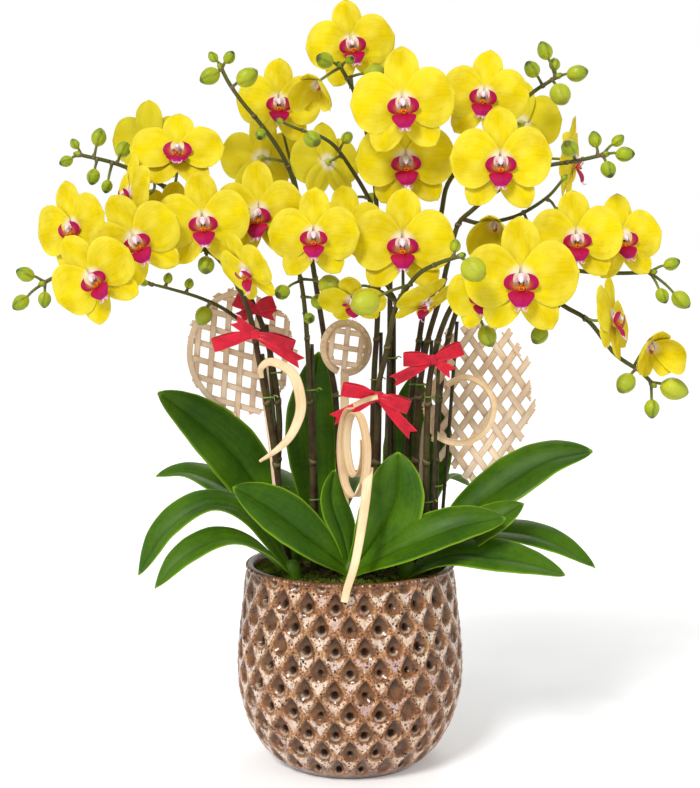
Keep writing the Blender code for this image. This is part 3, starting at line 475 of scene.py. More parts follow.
@dataclass(frozen=True)
class Finish:
    """Finish of a surface: constants of its shader, and a method that paints it."""

    name: str
    roughness: float = 0.5
    coat: float = 0.0
    subsurface: float = 0.0
    subsurface_reach: Colour = (0.004, 0.003, 0.001)
    sheen: float = 0.0
    specular: float = 0.5

    def paint(self, graph: Paint) -> None:
        """Feed the shader's colour, roughness and bump."""
        raise NotImplementedError

    def material(self) -> bpy.types.Material:
        """Material of this finish, made once.

        Returns:
            The material.
        """
        known = bpy.data.materials.get("look_" + self.name)
        if known is not None:
            return known
        made = bpy.data.materials.new("look_" + self.name)
        made.use_nodes = True
        for name, value in (("Roughness", self.roughness), ("Specular IOR Level", self.specular),
                            ("Coat Weight", self.coat), ("Coat Roughness", 0.08),
                            ("Sheen Weight", self.sheen), ("Subsurface Weight", self.subsurface),
                            ("Subsurface Radius", self.subsurface_reach), ("Subsurface Scale", 1.0)):
            made.node_tree.nodes["Principled BSDF"].inputs[name].default_value = value
        self.paint(Paint(made.node_tree))
        return made


@dataclass(frozen=True)
class PetalFinish(Finish):
    """Lemon petals with fine veins, a whitish heart, paler rims and a greener back, lit yellow with painted
    shade and painted highlights in soft patches.
    """

    lit: Colour = (0.760, 0.600, 0.003)
    # Shaded copy of the yellow, for painted shade.
    shade: Colour = (0.500, 0.350, 0.001)
    # Pale yellow: painted highlights in soft patches, and the paler rims.
    pale: Colour = (0.800, 0.700, 0.090)
    heart: Colour = (0.860, 0.780, 0.600)
    blush: Colour = (0.760, 0.420, 0.500)
    back: Colour = (0.640, 0.560, 0.030)

    def paint(self, graph: Paint) -> None:
        """Veined yellow between the petal's marks.

        Args:
            graph: Graph of the material.
        """
        veins, heart = graph.fibres(26.0, 1.4), graph.attribute("heart")
        # Over the lit yellow, the shaded yellow goes on in soft patches and along the veins as painted
        # shade, and pale patches over the UV are painted highlights; the same pale makes the rims paler.
        base = graph.layered(
            self.lit,
            (graph.mottle(38.0) * 0.5 + veins * 0.2, self.shade),
            (graph.mottle(2.6, vector=graph.place("UV")) * 0.40, self.pale),
            (graph.attribute("edge") * 0.3, self.pale),
            (graph.attribute("back") * 0.55, self.back),
            (heart.step(0.1, 0.8) * 0.9, self.heart),
            (heart.step(0.62, 1.0) * 0.6, self.blush))
        graph.dress(base, veins * 0.12 + self.roughness, graph.fibres(26.0, 1.4, "Height"), 0.4, 0.0010)


@dataclass(frozen=True)
class TintFinish(Finish):
    """Finish whose colour is painted on the points, broken up by fine mottling."""

    uneven: float = 0.25
    grain: float = 900.0
    relief: float = 0.0003
    patch: Colour = (0.55, 0.5, 0.5)
    blending: str = "MULTIPLY"
    ripe: Colour = (0.560, 0.560, 0.030)

    def paint(self, graph: Paint) -> None:
        """Painted colour, mottled.

        Args:
            graph: Graph of the material.
        """
        tint, fine = graph.attribute("tint", "Color"), graph.mottle(self.grain * 0.4, "Fine")
        base = graph.layered(
            tint,
            (graph.mottle(self.grain * 0.4) * self.uneven,
             graph.blend(1.0, tint, self.patch, self.blending)),
            (graph.attribute("ripe") * 0.6, self.ripe))
        graph.dress(base, fine * 0.15 + self.roughness, fine, 0.4, self.relief)


@dataclass(frozen=True)
class LeafFinish(Finish):
    """Waxy green blade with parallel veins, a dark midrib and a bright thin edge."""

    deep: Colour = (0.020, 0.072, 0.0015)
    fresh: Colour = (0.070, 0.165, 0.0025)
    midrib: Colour = (0.008, 0.038, 0.002)
    edge: Colour = (0.190, 0.340, 0.010)
    under: Colour = (0.075, 0.150, 0.012)

    def paint(self, graph: Paint) -> None:
        """Green that varies over the blade, with lines along it.

        Args:
            graph: Graph of the material.
        """
        veins, fine = graph.fibres(34.0, 1.6), graph.mottle(60.0, "Fine")
        base = graph.layered(
            self.deep,
            (graph.mottle(22.0) * 0.6 + veins * 0.22 + fine * 0.18, self.fresh),
            (graph.attribute("young") * 0.75, self.edge),
            (graph.attribute("back") * 0.7, self.under),
            (graph.attribute("rib"), self.midrib),
            (graph.attribute("edge"), self.edge))
        graph.dress(base, fine * 0.14 + veins * 0.06 + self.roughness,
                    graph.fibres(34.0, 1.6, "Height"), 0.3, 0.0008)


@dataclass(frozen=True)
class BambooFinish(Finish):
    """Split bamboo: pale straw with long fibres, darker at its cut edges."""

    pale: Colour = (0.840, 0.610, 0.350)
    warm: Colour = (0.660, 0.400, 0.190)
    edge: Colour = (0.480, 0.270, 0.120)
    across: float = 16.0
    along: float = 0.12

    def paint(self, graph: Paint) -> None:
        """Straw colour with fibres along the strip.

        Args:
            graph: Graph of the material.
        """
        fibres = graph.fibres(self.across, self.along)
        base = graph.layered(self.pale, (fibres * 0.45 + graph.mottle(55.0) * 0.4, self.warm),
                             (graph.attribute("edge") * 0.6, self.edge))
        graph.dress(base, fibres * 0.15 + self.roughness,
                    graph.fibres(self.across, self.along, "Height"), 0.5, 0.0004)


@dataclass(frozen=True)
class SatinFinish(Finish):
    """Woven satin ribbon with a fine weft, a firm selvedge and painted shade in soft patches."""

    red: Colour = (0.600, 0.003, 0.026)
    # Painted shade, in soft patches that stand in for the shade of the folds.
    dark: Colour = (0.300, 0.001, 0.014)
    bright: Colour = (0.860, 0.040, 0.050)

    def paint(self, graph: Paint) -> None:
        """Red with weft lines across the ribbon, painted shade in soft patches and paler selvedges.

        Args:
            graph: Graph of the material.
        """
        weft = graph.fibres(0.6, 9.0, "Height")
        # The dark patches are painted shade, standing in for the shade of the ribbon's folds.
        base = graph.layered(self.red, (graph.mottle(160.0) * 0.5, self.dark),
                             (graph.attribute("edge") * 0.4, self.bright))
        graph.dress(base, weft * 0.2 + self.roughness, weft, 0.35, 0.0003)


@dataclass(frozen=True)
class GlazeFinish(Finish):
    """Reactive glaze: brown body, taupe dimples darkened in their upper part by painted shade, tan ridge
    lines, cream pools, specks, pits, and a painted glint below each pit.
    """

    body: Colour = (0.090, 0.036, 0.014)
    taupe: Colour = (0.118, 0.062, 0.028)
    # Painted shade, laid over the upper part of each dimple.
    painted_shade_umber: Colour = (0.022, 0.010, 0.004)
    tan: Colour = (0.340, 0.145, 0.044)
    buff: Colour = (0.660, 0.390, 0.200)
    cream: Colour = (0.780, 0.660, 0.540)
    lavender: Colour = (0.460, 0.340, 0.400)
    rust: Colour = (0.150, 0.026, 0.006)
    soot: Colour = (0.014, 0.008, 0.006)
    warmth: Colour = (1.0, 0.84, 0.68)

    def paint(self, graph: Paint) -> None:
        """Glaze that breaks over the relief.

        Args:
            graph: Graph of the material.
        """
        place = graph.place()
        broad, patches, fine = graph.mottle(13.0), graph.mottle(120.0), graph.mottle(150.0, "Fine")
        rust = graph.grouped(EFFECTS.specks, "Mask", Vector=place, Scale=560.0, Size=0.44, Share=0.62)
        soot = graph.grouped(EFFECTS.specks, "Mask", Vector=place, Scale=400.0, Size=0.34, Share=0.42)
        bowl, pit = graph.attribute("bowl"), graph.attribute("pit")
        # The dimple's colour, with painted shade over its upper part.
        hollow = graph.layered(self.taupe, (fine * 0.7, self.body), (patches * 0.35, self.tan),
                               (graph.attribute("shade") * 0.9, self.painted_shade_umber))
        veil = graph.noise(graph.scaled(place, (1.0, 1.0, 0.45)), 420.0, 3.0).step(0.36, 0.64)
        pool = (graph.attribute("pool") * 0.9 + veil * 0.5 + patches * 0.25 - 0.66).step(0.0, 0.6)
        pool = pool * (1.0 - bowl * 0.8)
        clouds = graph.noise(place, 60.0).step(0.48, 0.66)
        milk = graph.layered(self.cream, (clouds * (broad * 0.6 + 0.3), self.lavender),
                             (fine * 0.35, self.tan))
        base = graph.layered(
            self.body,
            (patches * 0.4 + fine * 0.4, self.tan),
            (bowl.step(0.02, 0.35), hollow),
            (graph.attribute("line") * (fine * 0.6 + patches * 0.4),
             graph.blend(fine * 0.7 + patches * 0.3, self.tan, self.buff)),
            (pool, milk),
            (rust * (1.0 - bowl * 0.5) * 0.9, self.rust),
            (soot * (1.0 - bowl * 0.5), self.soot),
            # Painted reflection: a cream crescent of glint below each pit.
            (graph.attribute("gleam") * 0.55, self.cream),
            (pit, self.soot),
            (graph.attribute("foot") * 0.85, self.body))
        base = graph.blend(broad * 0.7, base, graph.blend(1.0, base, self.warmth, "MULTIPLY"))
        graph.dress(base, fine * 0.08 + soot * 0.2 + pit * 0.5 + self.roughness,
                    fine * 0.4 + pool * 0.6 - rust * 0.3 - soot * 0.8, 0.5, 0.0010)
        graph.feed(graph.tree.nodes["Principled BSDF"].inputs["Coat Weight"], (1.0 - pit) * self.coat)


@dataclass(frozen=True)
class LitterFinish(Finish):
    """Rough bark chips or soil in two browns."""

    dark: Colour = (0.020, 0.012, 0.007)
    light: Colour = (0.120, 0.066, 0.036)

    def paint(self, graph: Paint) -> None:
        """Two tones with a coarse grain.

        Args:
            graph: Graph of the material.
        """
        fine = graph.mottle(220.0, "Fine")
        base = graph.blend(graph.mottle(150.0) * 0.5 + fine * 0.4, self.dark, self.light)
        graph.dress(base, self.roughness, fine, 0.8, 0.0012)


PETAL = PetalFinish("petal", roughness=0.6, subsurface=0.12, specular=0.05)
LIP = TintFinish("lip", roughness=0.42, subsurface=0.1, subsurface_reach=(0.002, 0.0005, 0.0006),
                 specular=0.15)
BUD = TintFinish("bud", roughness=0.34, subsurface=0.1, subsurface_reach=(0.002, 0.002, 0.0004),
                 specular=0.3, grain=230.0, uneven=0.35, relief=0.0004, patch=(0.5, 0.62, 0.4))
STALK = TintFinish("stalk", roughness=0.45, specular=0.22, uneven=0.42, grain=300.0, relief=0.0006,
                   patch=(0.070, 0.090, 0.012), blending="MIX")
BLADE = LeafFinish("blade", roughness=0.34, specular=0.16)
WOVEN = BambooFinish("woven_bamboo", roughness=0.6, specular=0.2, pale=(0.950, 0.760, 0.560),
                     warm=(0.680, 0.460, 0.280), edge=(0.500, 0.300, 0.160), across=10.0)
SPLIT = BambooFinish("split_bamboo", roughness=0.42, specular=0.35, pale=(0.940, 0.740, 0.470))
SATIN = SatinFinish("satin", roughness=0.34, specular=0.3, sheen=0.1)
GLAZE = GlazeFinish("glaze", roughness=0.16, coat=0.6, specular=0.12)
BARK = LitterFinish("bark", roughness=0.85, specular=0.2)
MOSS = LitterFinish("moss", roughness=0.8, specular=0.2, dark=(0.030, 0.070, 0.006),
                    light=(0.330, 0.430, 0.030))


def smooth_route(points: Route, count: int) -> Array:
    """Smooth curve through points, as evenly shared points of it.

    Args:
        points: Points that the curve passes.
        count: Number of points to return.

    Returns:
        Array of count points.
    """
    knots = np.array([points[0], *points, points[-1]], dtype=float)
    if len(points) > 2:
        knots[0] = 2 * knots[1] - knots[2]
        knots[-1] = 2 * knots[-2] - knots[-3]
    places = np.linspace(0.0, len(points) - 1, count * 4)
    index = np.minimum(places.astype(int), len(points) - 2)
    t = (places - index)[:, None]
    before, start, end, after = (knots[index + shift] for shift in range(4))
    curve = 0.5 * (2 * start + (end - before) * t + (2 * before - 5 * start + 4 * end - after) * t ** 2
                   + (3 * start - before - 3 * end + after) * t ** 3)
    length = path_length(curve)
    even = np.linspace(0.0, length[-1], count)
    return np.stack([np.interp(even, length, curve[:, axis]) for axis in range(3)], axis=1)


def path_length(route: Array) -> Array:
    """Length of a route up to each of its points."""
    return np.concatenate([[0.0], np.cumsum(np.linalg.norm(np.diff(route, axis=0), axis=1))])


def scaled_to_one(vectors: Array) -> Array:
    """Vectors of length one, along the last axis."""
    return vectors / np.maximum(np.linalg.norm(vectors, axis=-1, keepdims=True), 1e-9)


def unit(vector: Iterable[float]) -> Array:
    """Vector of length one."""
    return scaled_to_one(np.array(list(vector), dtype=float))


def run_directions(route: Array) -> Array:
    """Unit direction of a route at each of its points."""
    return scaled_to_one(np.gradient(route, axis=0))


def held(value: Array | float) -> Array:
    """Value kept between 0 and 1."""
    return np.clip(value, 0.0, 1.0)


def ramp(value: Array, low: float, width: float) -> Array:
    """Rise from 0 at the low value to 1 at the end of the width."""
    return held((value - low) / width)


def ridge(value: Array, width: float) -> Array:
    """Soft ridge of height one at 0."""
    return np.exp(-(value / width) ** 2)


def mixed(first: object, second: object, share: Array) -> Array:
    """Colours between two, with the second one's share for each point."""
    return np.asarray(first) + (np.asarray(second) - first) * np.asarray(share)[..., None]


def circle(count: int) -> Array:
    """Angles shared evenly round a circle."""
    return np.linspace(0.0, math.tau, count, endpoint=False)


def shares(count: int) -> Array:
    """Column of even shares from 0 to 1."""
    return np.linspace(0.0, 1.0, count)[:, None]


def breadth(count: int) -> Array:
    """Even places from -1 to 1."""
    return np.linspace(-1.0, 1.0, count)


def grid(*parts: Array | float) -> Array:
    """Points whose parts broadcast together."""
    return np.stack(np.broadcast_arrays(*parts), axis=-1)


def turned(radius: Array, height: Array, columns: int) -> Array:
    """Rings of points round Z, a row for each radius and height."""
    return grid(radius * np.cos(circle(columns)), radius * np.sin(circle(columns)), height)


class Shape:
    """Mesh gathered from sheets and tubes, in millimetres.

    Marks are values by attribute name, one or one for each point; the mark named tint is a colour.
    """

    def __init__(self, name: str) -> None:
        """Start an empty shape."""
        self.name = name
        self.points: list[Array] = []
        self.marks: list[Marks] = []
        self.faces: list[tuple[int, ...]] = []
        self.corners: list[Array] = []
        self.materials: list[int] = []
        self.count = 0

    @staticmethod
    def spread(marks: Marks, points: Array) -> Marks:
        """Marks with a value for each of the points."""
        return {name: np.broadcast_to(value, points.shape if name == "tint" else points.shape[:-1])
                for name, value in marks.items()}

    def _points(self, points: Array, marks: Marks) -> int:
        """Add points with their marks.

        Args:
            points: Points in any grid.
            marks: Their marks.

        Returns:
            Number of the first point.
        """
        size = points.size // 3
        self.points.append(points.reshape(-1, 3))
        self.marks.append({name: value.reshape(size, -1)
                           for name, value in self.spread(marks, points).items()})
        self.count += size
        return self.count - size

    def _faces(self, indices: Array, corners: Array, material: int) -> None:
        """Add faces of one size with a UV place for each corner.

        Args:
            indices: Numbers of the corners' points, a row for each face.
            corners: UV place of each corner.
            material: Index of the material.
        """
        self.faces += [tuple(row) for row in indices.tolist()]
        self.corners.append(corners.reshape(-1, 2))
        self.materials += [material] * len(indices)

    def sheet(self, points: Array, thickness: float | Array, uv: Array | None = None, material: int = 0,
              marks: Marks | None = None, reverse: Marks | None = None) -> None:
        """Add a closed sheet over a grid of points.

        Args:
            points: Grid of points, rows along and columns across.
            thickness: Thickness, one value or one for each point.
            uv: UV place of each point; shares of the grid where none is given.
            material: Index of the material.
            marks: Marks of the points.
            reverse: Marks that differ on the side the normals point away from.
        """
        rows, columns = points.shape[:2]
        if uv is None:
            uv = grid(np.linspace(0, 1, columns), np.linspace(0, 1, rows)[:, None])
        half = np.broadcast_to(thickness, (rows, columns))[..., None] / 2
        normal = scaled_to_one(np.cross(np.gradient(points, axis=0), np.gradient(points, axis=1)))
        top = self._points(points + normal * half, marks or {})
        self._points(points - normal * half, {**(marks or {}), **(reverse or {})})
        upper = top + np.arange(rows * columns).reshape(rows, columns)
        lower = upper + rows * columns
        flat_uv = np.concatenate([uv.reshape(-1, 2)] * 2)
        for parts in (
                (upper[:-1, :-1], upper[1:, :-1], upper[1:, 1:], upper[:-1, 1:]),
                (lower[:-1, :-1], lower[:-1, 1:], lower[1:, 1:], lower[1:, :-1]),
                (upper[1:, 0], upper[:-1, 0], lower[:-1, 0], lower[1:, 0]),
                (upper[:-1, -1], upper[1:, -1], lower[1:, -1], lower[:-1, -1]),
                (upper[0, :-1], upper[0, 1:], lower[0, 1:], lower[0, :-1]),
                (upper[-1, 1:], upper[-1, :-1], lower[-1, :-1], lower[-1, 1:])):
            quads = np.stack([part.ravel() for part in parts], axis=1)
            self._faces(quads, flat_uv[quads - top], material)

    def wrapped(self, points: Array, material: int = 0, marks: Marks | None = None,
                length: float = 1.0) -> None:
        """Add a closed surface of rings, with a fan over each end.

        Args:
            points: Grid of points, one row for each ring.
            material: Index of the material.
            marks: Marks of the points.
            length: Second UV coordinate at the last ring.
        """
        rows, columns = points.shape[:2]
        marks = self.spread(marks or {}, points)
        ring = self._points(points, marks) + np.arange(rows * columns).reshape(rows, columns)
        after = np.roll(ring, -1, axis=1)
        quads = np.stack([part.ravel() for part in (ring[:-1], after[:-1], after[1:], ring[1:])], axis=1)
        u, step = np.arange(columns) / columns, 1.0 / columns
        v = np.linspace(0.0, length, rows)[:, None]
        self._faces(quads, np.stack([grid(u, v[:-1]), grid(u + step, v[:-1]), grid(u + step, v[1:]),
                                     grid(u, v[1:])], axis=2), material)
        for row, first, second in ((0, after[0], ring[0]), (-1, ring[-1], after[-1])):
            tip = {name: value[row].mean(axis=0) for name, value in marks.items()}
            middle = self._points(points[row].mean(axis=0)[None, None], tip)
            fan = np.stack([first, second, np.full(columns, middle)], axis=1)
            self._faces(fan, np.stack([grid(u + shift, v[row]) for shift in (0.0, step, step / 2)],
                                      axis=1), material)

    def tube(self, route: Array, radii: float | Sequence[float] | Array, sides: int = 10, material: int = 0,
             marks: Marks | None = None, length: float = 1.0) -> None:
        """Add a closed round tube along a route.

        Args:
            route: Points of the route.
            radii: Radius, one or one for each point.
            sides: Number of sides.
            material: Index of the material.
            marks: Values by attribute name, one or one for each point of the route.
            length: Second UV coordinate at the end.
        """
        direction = run_directions(route)
        side = np.cross(direction[0], UP if abs(direction[0][2]) < 0.9 else (1.0, 0.0, 0.0))
        first = []
        for step in direction:
            side = unit(side - step * side.dot(step))
            first.append(side)
        second = np.cross(direction, first)[:, None]
        turn = circle(sides)[:, None]
        rings = (route[:, None] + np.broadcast_to(radii, len(route))[:, None, None]
                 * (np.array(first)[:, None] * np.cos(turn) + second * np.sin(turn)))
        marks = {name: np.asarray(value)[:, None] if np.ndim(value) > (name == "tint") else value
                 for name, value in (marks or {}).items()}
        self.wrapped(rings, material, marks, length)

    def merge(self, other: "Shape", turn: Array, move: Array) -> None:
        """Add another shape, turned and moved.

        Args:
            other: Shape to add.
            turn: Three by three matrix that turns and scales.
            move: Shift after the turn.
        """
        self.points += [points @ turn.T + move for points in other.points]
        self.marks += other.marks
        self.faces += [tuple(corner + self.count for corner in face) for face in other.faces]
        self.corners += other.corners
        self.materials += other.materials
        self.count += other.count

    def mesh(self, *finishes: Finish) -> Mesh:
        """Blender mesh in metres with its UV map, marks and materials.

        Args:
            finishes: Finish for each material index.

        Returns:
            The mesh.
        """
        mesh = bpy.data.meshes.new(self.name)
        mesh.from_pydata((np.concatenate(self.points) * MM).tolist(), [], self.faces)
        for finish in finishes:
            mesh.materials.append(finish.material())
        mesh.polygons.foreach_set("material_index", self.materials)
        uv_map = mesh.uv_layers.new(name="UVMap")
        uv_map.data.foreach_set("uv", np.concatenate(self.corners).ravel())
        for name in sorted({name for marks in self.marks for name in marks}):
            width, kind, key = (3, "FLOAT_COLOR", "color") if name == "tint" else (1, "FLOAT", "value")
            values = np.concatenate([marks.get(name, np.zeros((len(points), width)))
                                     for points, marks in zip(self.points, self.marks)])
            if width == 3:
                values = np.insert(values, 3, 1.0, axis=1)
            mesh.attributes.new(name, kind, "POINT").data.foreach_set(key, values.ravel())
        mesh.shade_smooth()
        mesh.update()
        return mesh

    def piece(self, slot: Slot, finishes: Sequence[Finish], replaces: Sequence[str],
              sharp: float = 50.0) -> Item:
        """Finished piece that rides on the body.

        Args:
            slot: Material slot of the record; not used.
            finishes: Finish for each material index.
            replaces: CAD nodes that it stands for.
            sharp: Angle in degrees past which an edge stays sharp.

        Returns:
            The object.
        """
        mesh = self.mesh(*finishes)
        mesh.set_sharp_from_angle(angle=math.radians(sharp))
        return register(self.name, mesh, replaces)


def linked(name: str, data: bpy.types.ID) -> Item:
    """Object of a mesh, light or camera, in the scene.

    Args:
        name: Name of the object.
        data: Its mesh, light or camera.

    Returns:
        The object.
    """
    made = bpy.data.objects.new(name, data)
    bpy.context.scene.collection.objects.link(made)
    return made


def register(name: str, mesh: Mesh, replaces: Sequence[str]) -> Item:
    """Object of a finished mesh, riding on the body.

    Args:
        name: Name of the piece.
        mesh: Its mesh, in place.
        replaces: CAD nodes that it stands for.

    Returns:
        The object.
    """
    made = linked(name, mesh)
    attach(made, BODY)
    if replaces:
        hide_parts(*replaces)
    log.info("%s: %d faces", name, len(mesh.polygons))
    return made


def through_nodes(name: str, mesh: Mesh, tree: Tree, inputs: dict[str, object]) -> Mesh:
    """Plain mesh that a geometry tree makes of a mesh.

    Args:
        name: Name for the result.
        mesh: Mesh that goes in.
        tree: Geometry tree.
        inputs: Values of the tree's inputs by their names.

    Returns:
        The resulting mesh, in metres.
    """
    carrier = linked(name + "_carrier", mesh)
    modifier = carrier.modifiers.new("nodes", "NODES")
    modifier.node_group = tree
    for item in tree.interface.items_tree:
        if item.in_out == "INPUT" and item.name in inputs:
            modifier[item.identifier] = inputs[item.name]
    bpy.context.view_layer.update()
    graph = bpy.context.evaluated_depsgraph_get()
    made = bpy.data.meshes.new_from_object(carrier.evaluated_get(graph), depsgraph=graph)
    carrier.modifiers.clear()
    bpy.data.objects.remove(carrier, do_unlink=True)
    made.name = name
    return made


@dataclass
class Pot:
    """Glazed pot: turned wall with dimples in staggered rows and a beaded lip."""

    row_low: float = 9.0
    row_height: float = 15.0
    rows: int = 9
    dimple_columns: int = 48
    column_width: float = 10.9
    columns: int = 560
    steps: int = 138
    ridge: float = 1.0
    depth: float = 2.7
    pit_radius: float = 2.6
    pit_depth: float = 1.9
    beads: int = 190
    bead_radius: float = 1.1
    lip_radius: float = 77.2
    lip_height: float = 146.6
    seed: float = 4.0
    silhouette: Pairs = (
        (0.0, 51.0), (4.0, 56.0), (9.0, 61.5), (20.0, 70.0), (33.0, 76.5), (50.0, 81.5),
        (66.0, 83.5), (85.0, 83.2), (105.0, 81.3), (125.0, 79.2), (139.0, 77.6), (148.0, 76.8))
    foot: Pairs = ((0.5, 44.0), (0.0, 50.4), (0.4, 51.6), (1.6, 52.6))
    lip: Pairs = (
        (146.2, 77.6), (147.1, 77.1), (147.8, 76.1), (148.0, 75.0), (147.9, 73.8), (147.3, 72.9),
        (146.0, 72.2), (140.0, 70.9), (110.0, 71.8), (62.0, 73.0), (30.0, 62.0), (10.0, 53.0), (7.0, 46.0))

    def lathe(self) -> Shape:
        """Turned wall, from the foot up the outside, over the lip and down the inside.

        Returns:
            The wall, with marks for its outer side and for the unglazed foot.
        """
        heights = np.linspace(2.6, 145.4, self.steps)
        curve = smooth_route([(height, radius, 0.0) for height, radius in self.silhouette], 160)
        band = np.stack([heights, np.interp(heights, curve[:, 0], curve[:, 1])], axis=1)
        rows = np.concatenate([self.foot, band, self.lip])
        height, radius = rows[:, :1], rows[:, 1:]
        outer = np.zeros_like(height)
        outer[len(self.foot):-len(self.lip)] = 1.0
        shape = Shape("pot_wall")
        shape.wrapped(turned(radius, height, self.columns), 0,
                      {"outer": outer, "foot": held((4.5 - height) / 3.0)})
        return shape

    @staticmethod
    def relief_tree() -> Tree:
        """Geometry tree that presses the dimples, marks them and sets beads round the lip.

        Returns:
            The tree.
        """
        tree = Group("pressed_dimples", GEOMETRY_TREE, {"Geometry": "Geometry"}, Geometry="Geometry",
                     Float="Columns, Low, Row Height, Rows, Ridge, Depth, Pit Radius, Pit Depth, "
                           "Column Width, Seed, Bead Radius, Lip Radius, Lip Height",
                     Int="Beads", Material="Finish")
        x, y, z = tree.split(tree.geo("InputPosition"))
        column = tree.math("ARCTAN2", y, x) * tree["Columns"] / math.tau
        row = (z - tree["Low"]) / tree["Row Height"]
        rising = (column + row + 1.0) * 0.5
        falling = (column - row - 1.0) * 0.5
        rising_cell, falling_cell = rising.nearest(), falling.nearest()
        across = (rising - rising_cell) + (falling - falling_cell)
        up = (rising - rising_cell) - (falling - falling_cell)
        spread = across.absolute() + up.absolute()
        raised = up - 0.2
        low_half = 1.0 - raised.above(0.0)
        side = across.absolute() / 0.70
        pointed = side + (raised / 0.72).squared()
        rounded = (side.squared() + (raised / 0.54).squared()).root()
        reach = pointed * (1.0 - low_half) + rounded * low_half
        chance = tree.chance(tree.point(
            tree.math("FLOORED_MODULO", rising_cell + falling_cell, tree["Columns"]),
            rising_cell - falling_cell, tree["Seed"]))
        inside = (row.step(-0.42, 0.05) * (tree["Rows"] + 0.16 - row).step(0.0, 0.3)
                  * tree.named("outer"))
        bowl = reach.step(1.0, 0.25) * inside
        rim = reach.step(0.8, 1.0) * reach.step(1.3, 1.08)
        drop = (up - 0.10) * tree["Row Height"]
        aside = across * tree["Column Width"]
        distance = (drop.squared() + aside.squared()).root() / (
            tree["Pit Radius"] * (chance * 0.45 + 0.65))
        pit = distance.step(1.12, 0.78) * chance.above(0.16) * inside
        below = (0.0 - drop / tree["Pit Radius"]).step(0.2, 0.9)
        marked = tree.stored(
            tree["Geometry"], bowl=bowl, line=rim.most(spread.step(0.80, 0.94)) * inside, pit=pit,
            pool=(reach.step(0.88, 1.1) * (0.05 - up).step(0.0, 0.4) * spread.step(1.04, 0.8)
                  * inside),
            # Painted shade over the upper part of each bowl.
            shade=bowl * up.step(0.15, 0.7),
            # Painted reflection: a crescent of glint just below each pit.
            gleam=(distance.step(1.2, 1.4) * distance.step(1.9, 1.6) * below * chance.above(0.3)
                   * inside))
        shift = (tree["Ridge"] * (spread * spread * 1.35 - 0.35 + rim * 0.25)
                 - tree["Depth"] * bowl) * inside - tree["Pit Depth"] * pit
        radius = (x.squared() + y.squared()).root()
        wall = tree.geo("SetPosition", Geometry=marked,
                        Offset=tree.point(x / radius * shift, y / radius * shift))
        beads = tree.geo("InstanceOnPoints",
                         Points=tree.geo("MeshCircle", Vertices=tree["Beads"], Radius=tree["Lip Radius"]),
                         Instance=tree.geo("MeshIcoSphere", Radius=tree["Bead Radius"], Subdivisions=2))
        beads = tree.geo("Transform", Geometry=beads, Translation=tree.point(z=tree["Lip Height"]))
        beads = tree.stored(tree.geo("RealizeInstances", Geometry=beads), pool=0.45)
        return tree.dressed(tree.joined(beads, wall))

    def build(self) -> None:
        """Make the pot piece."""
        sizes = {"Low": self.row_low, "Row Height": self.row_height, "Ridge": self.ridge,
                 "Depth": self.depth, "Pit Radius": self.pit_radius, "Pit Depth": self.pit_depth,
                 "Column Width": self.column_width, "Bead Radius": self.bead_radius,
                 "Lip Radius": self.lip_radius, "Lip Height": self.lip_height}
        mesh = through_nodes("pot_glazed", self.lathe().mesh(GLAZE), self.relief_tree(), {
            **{name: size * MM for name, size in sizes.items()}, "Columns": float(self.dimple_columns),
            "Rows": float(self.rows), "Seed": self.seed, "Beads": self.beads,
            "Finish": GLAZE.material()})
        register("pot_glazed", mesh, ["pot"])


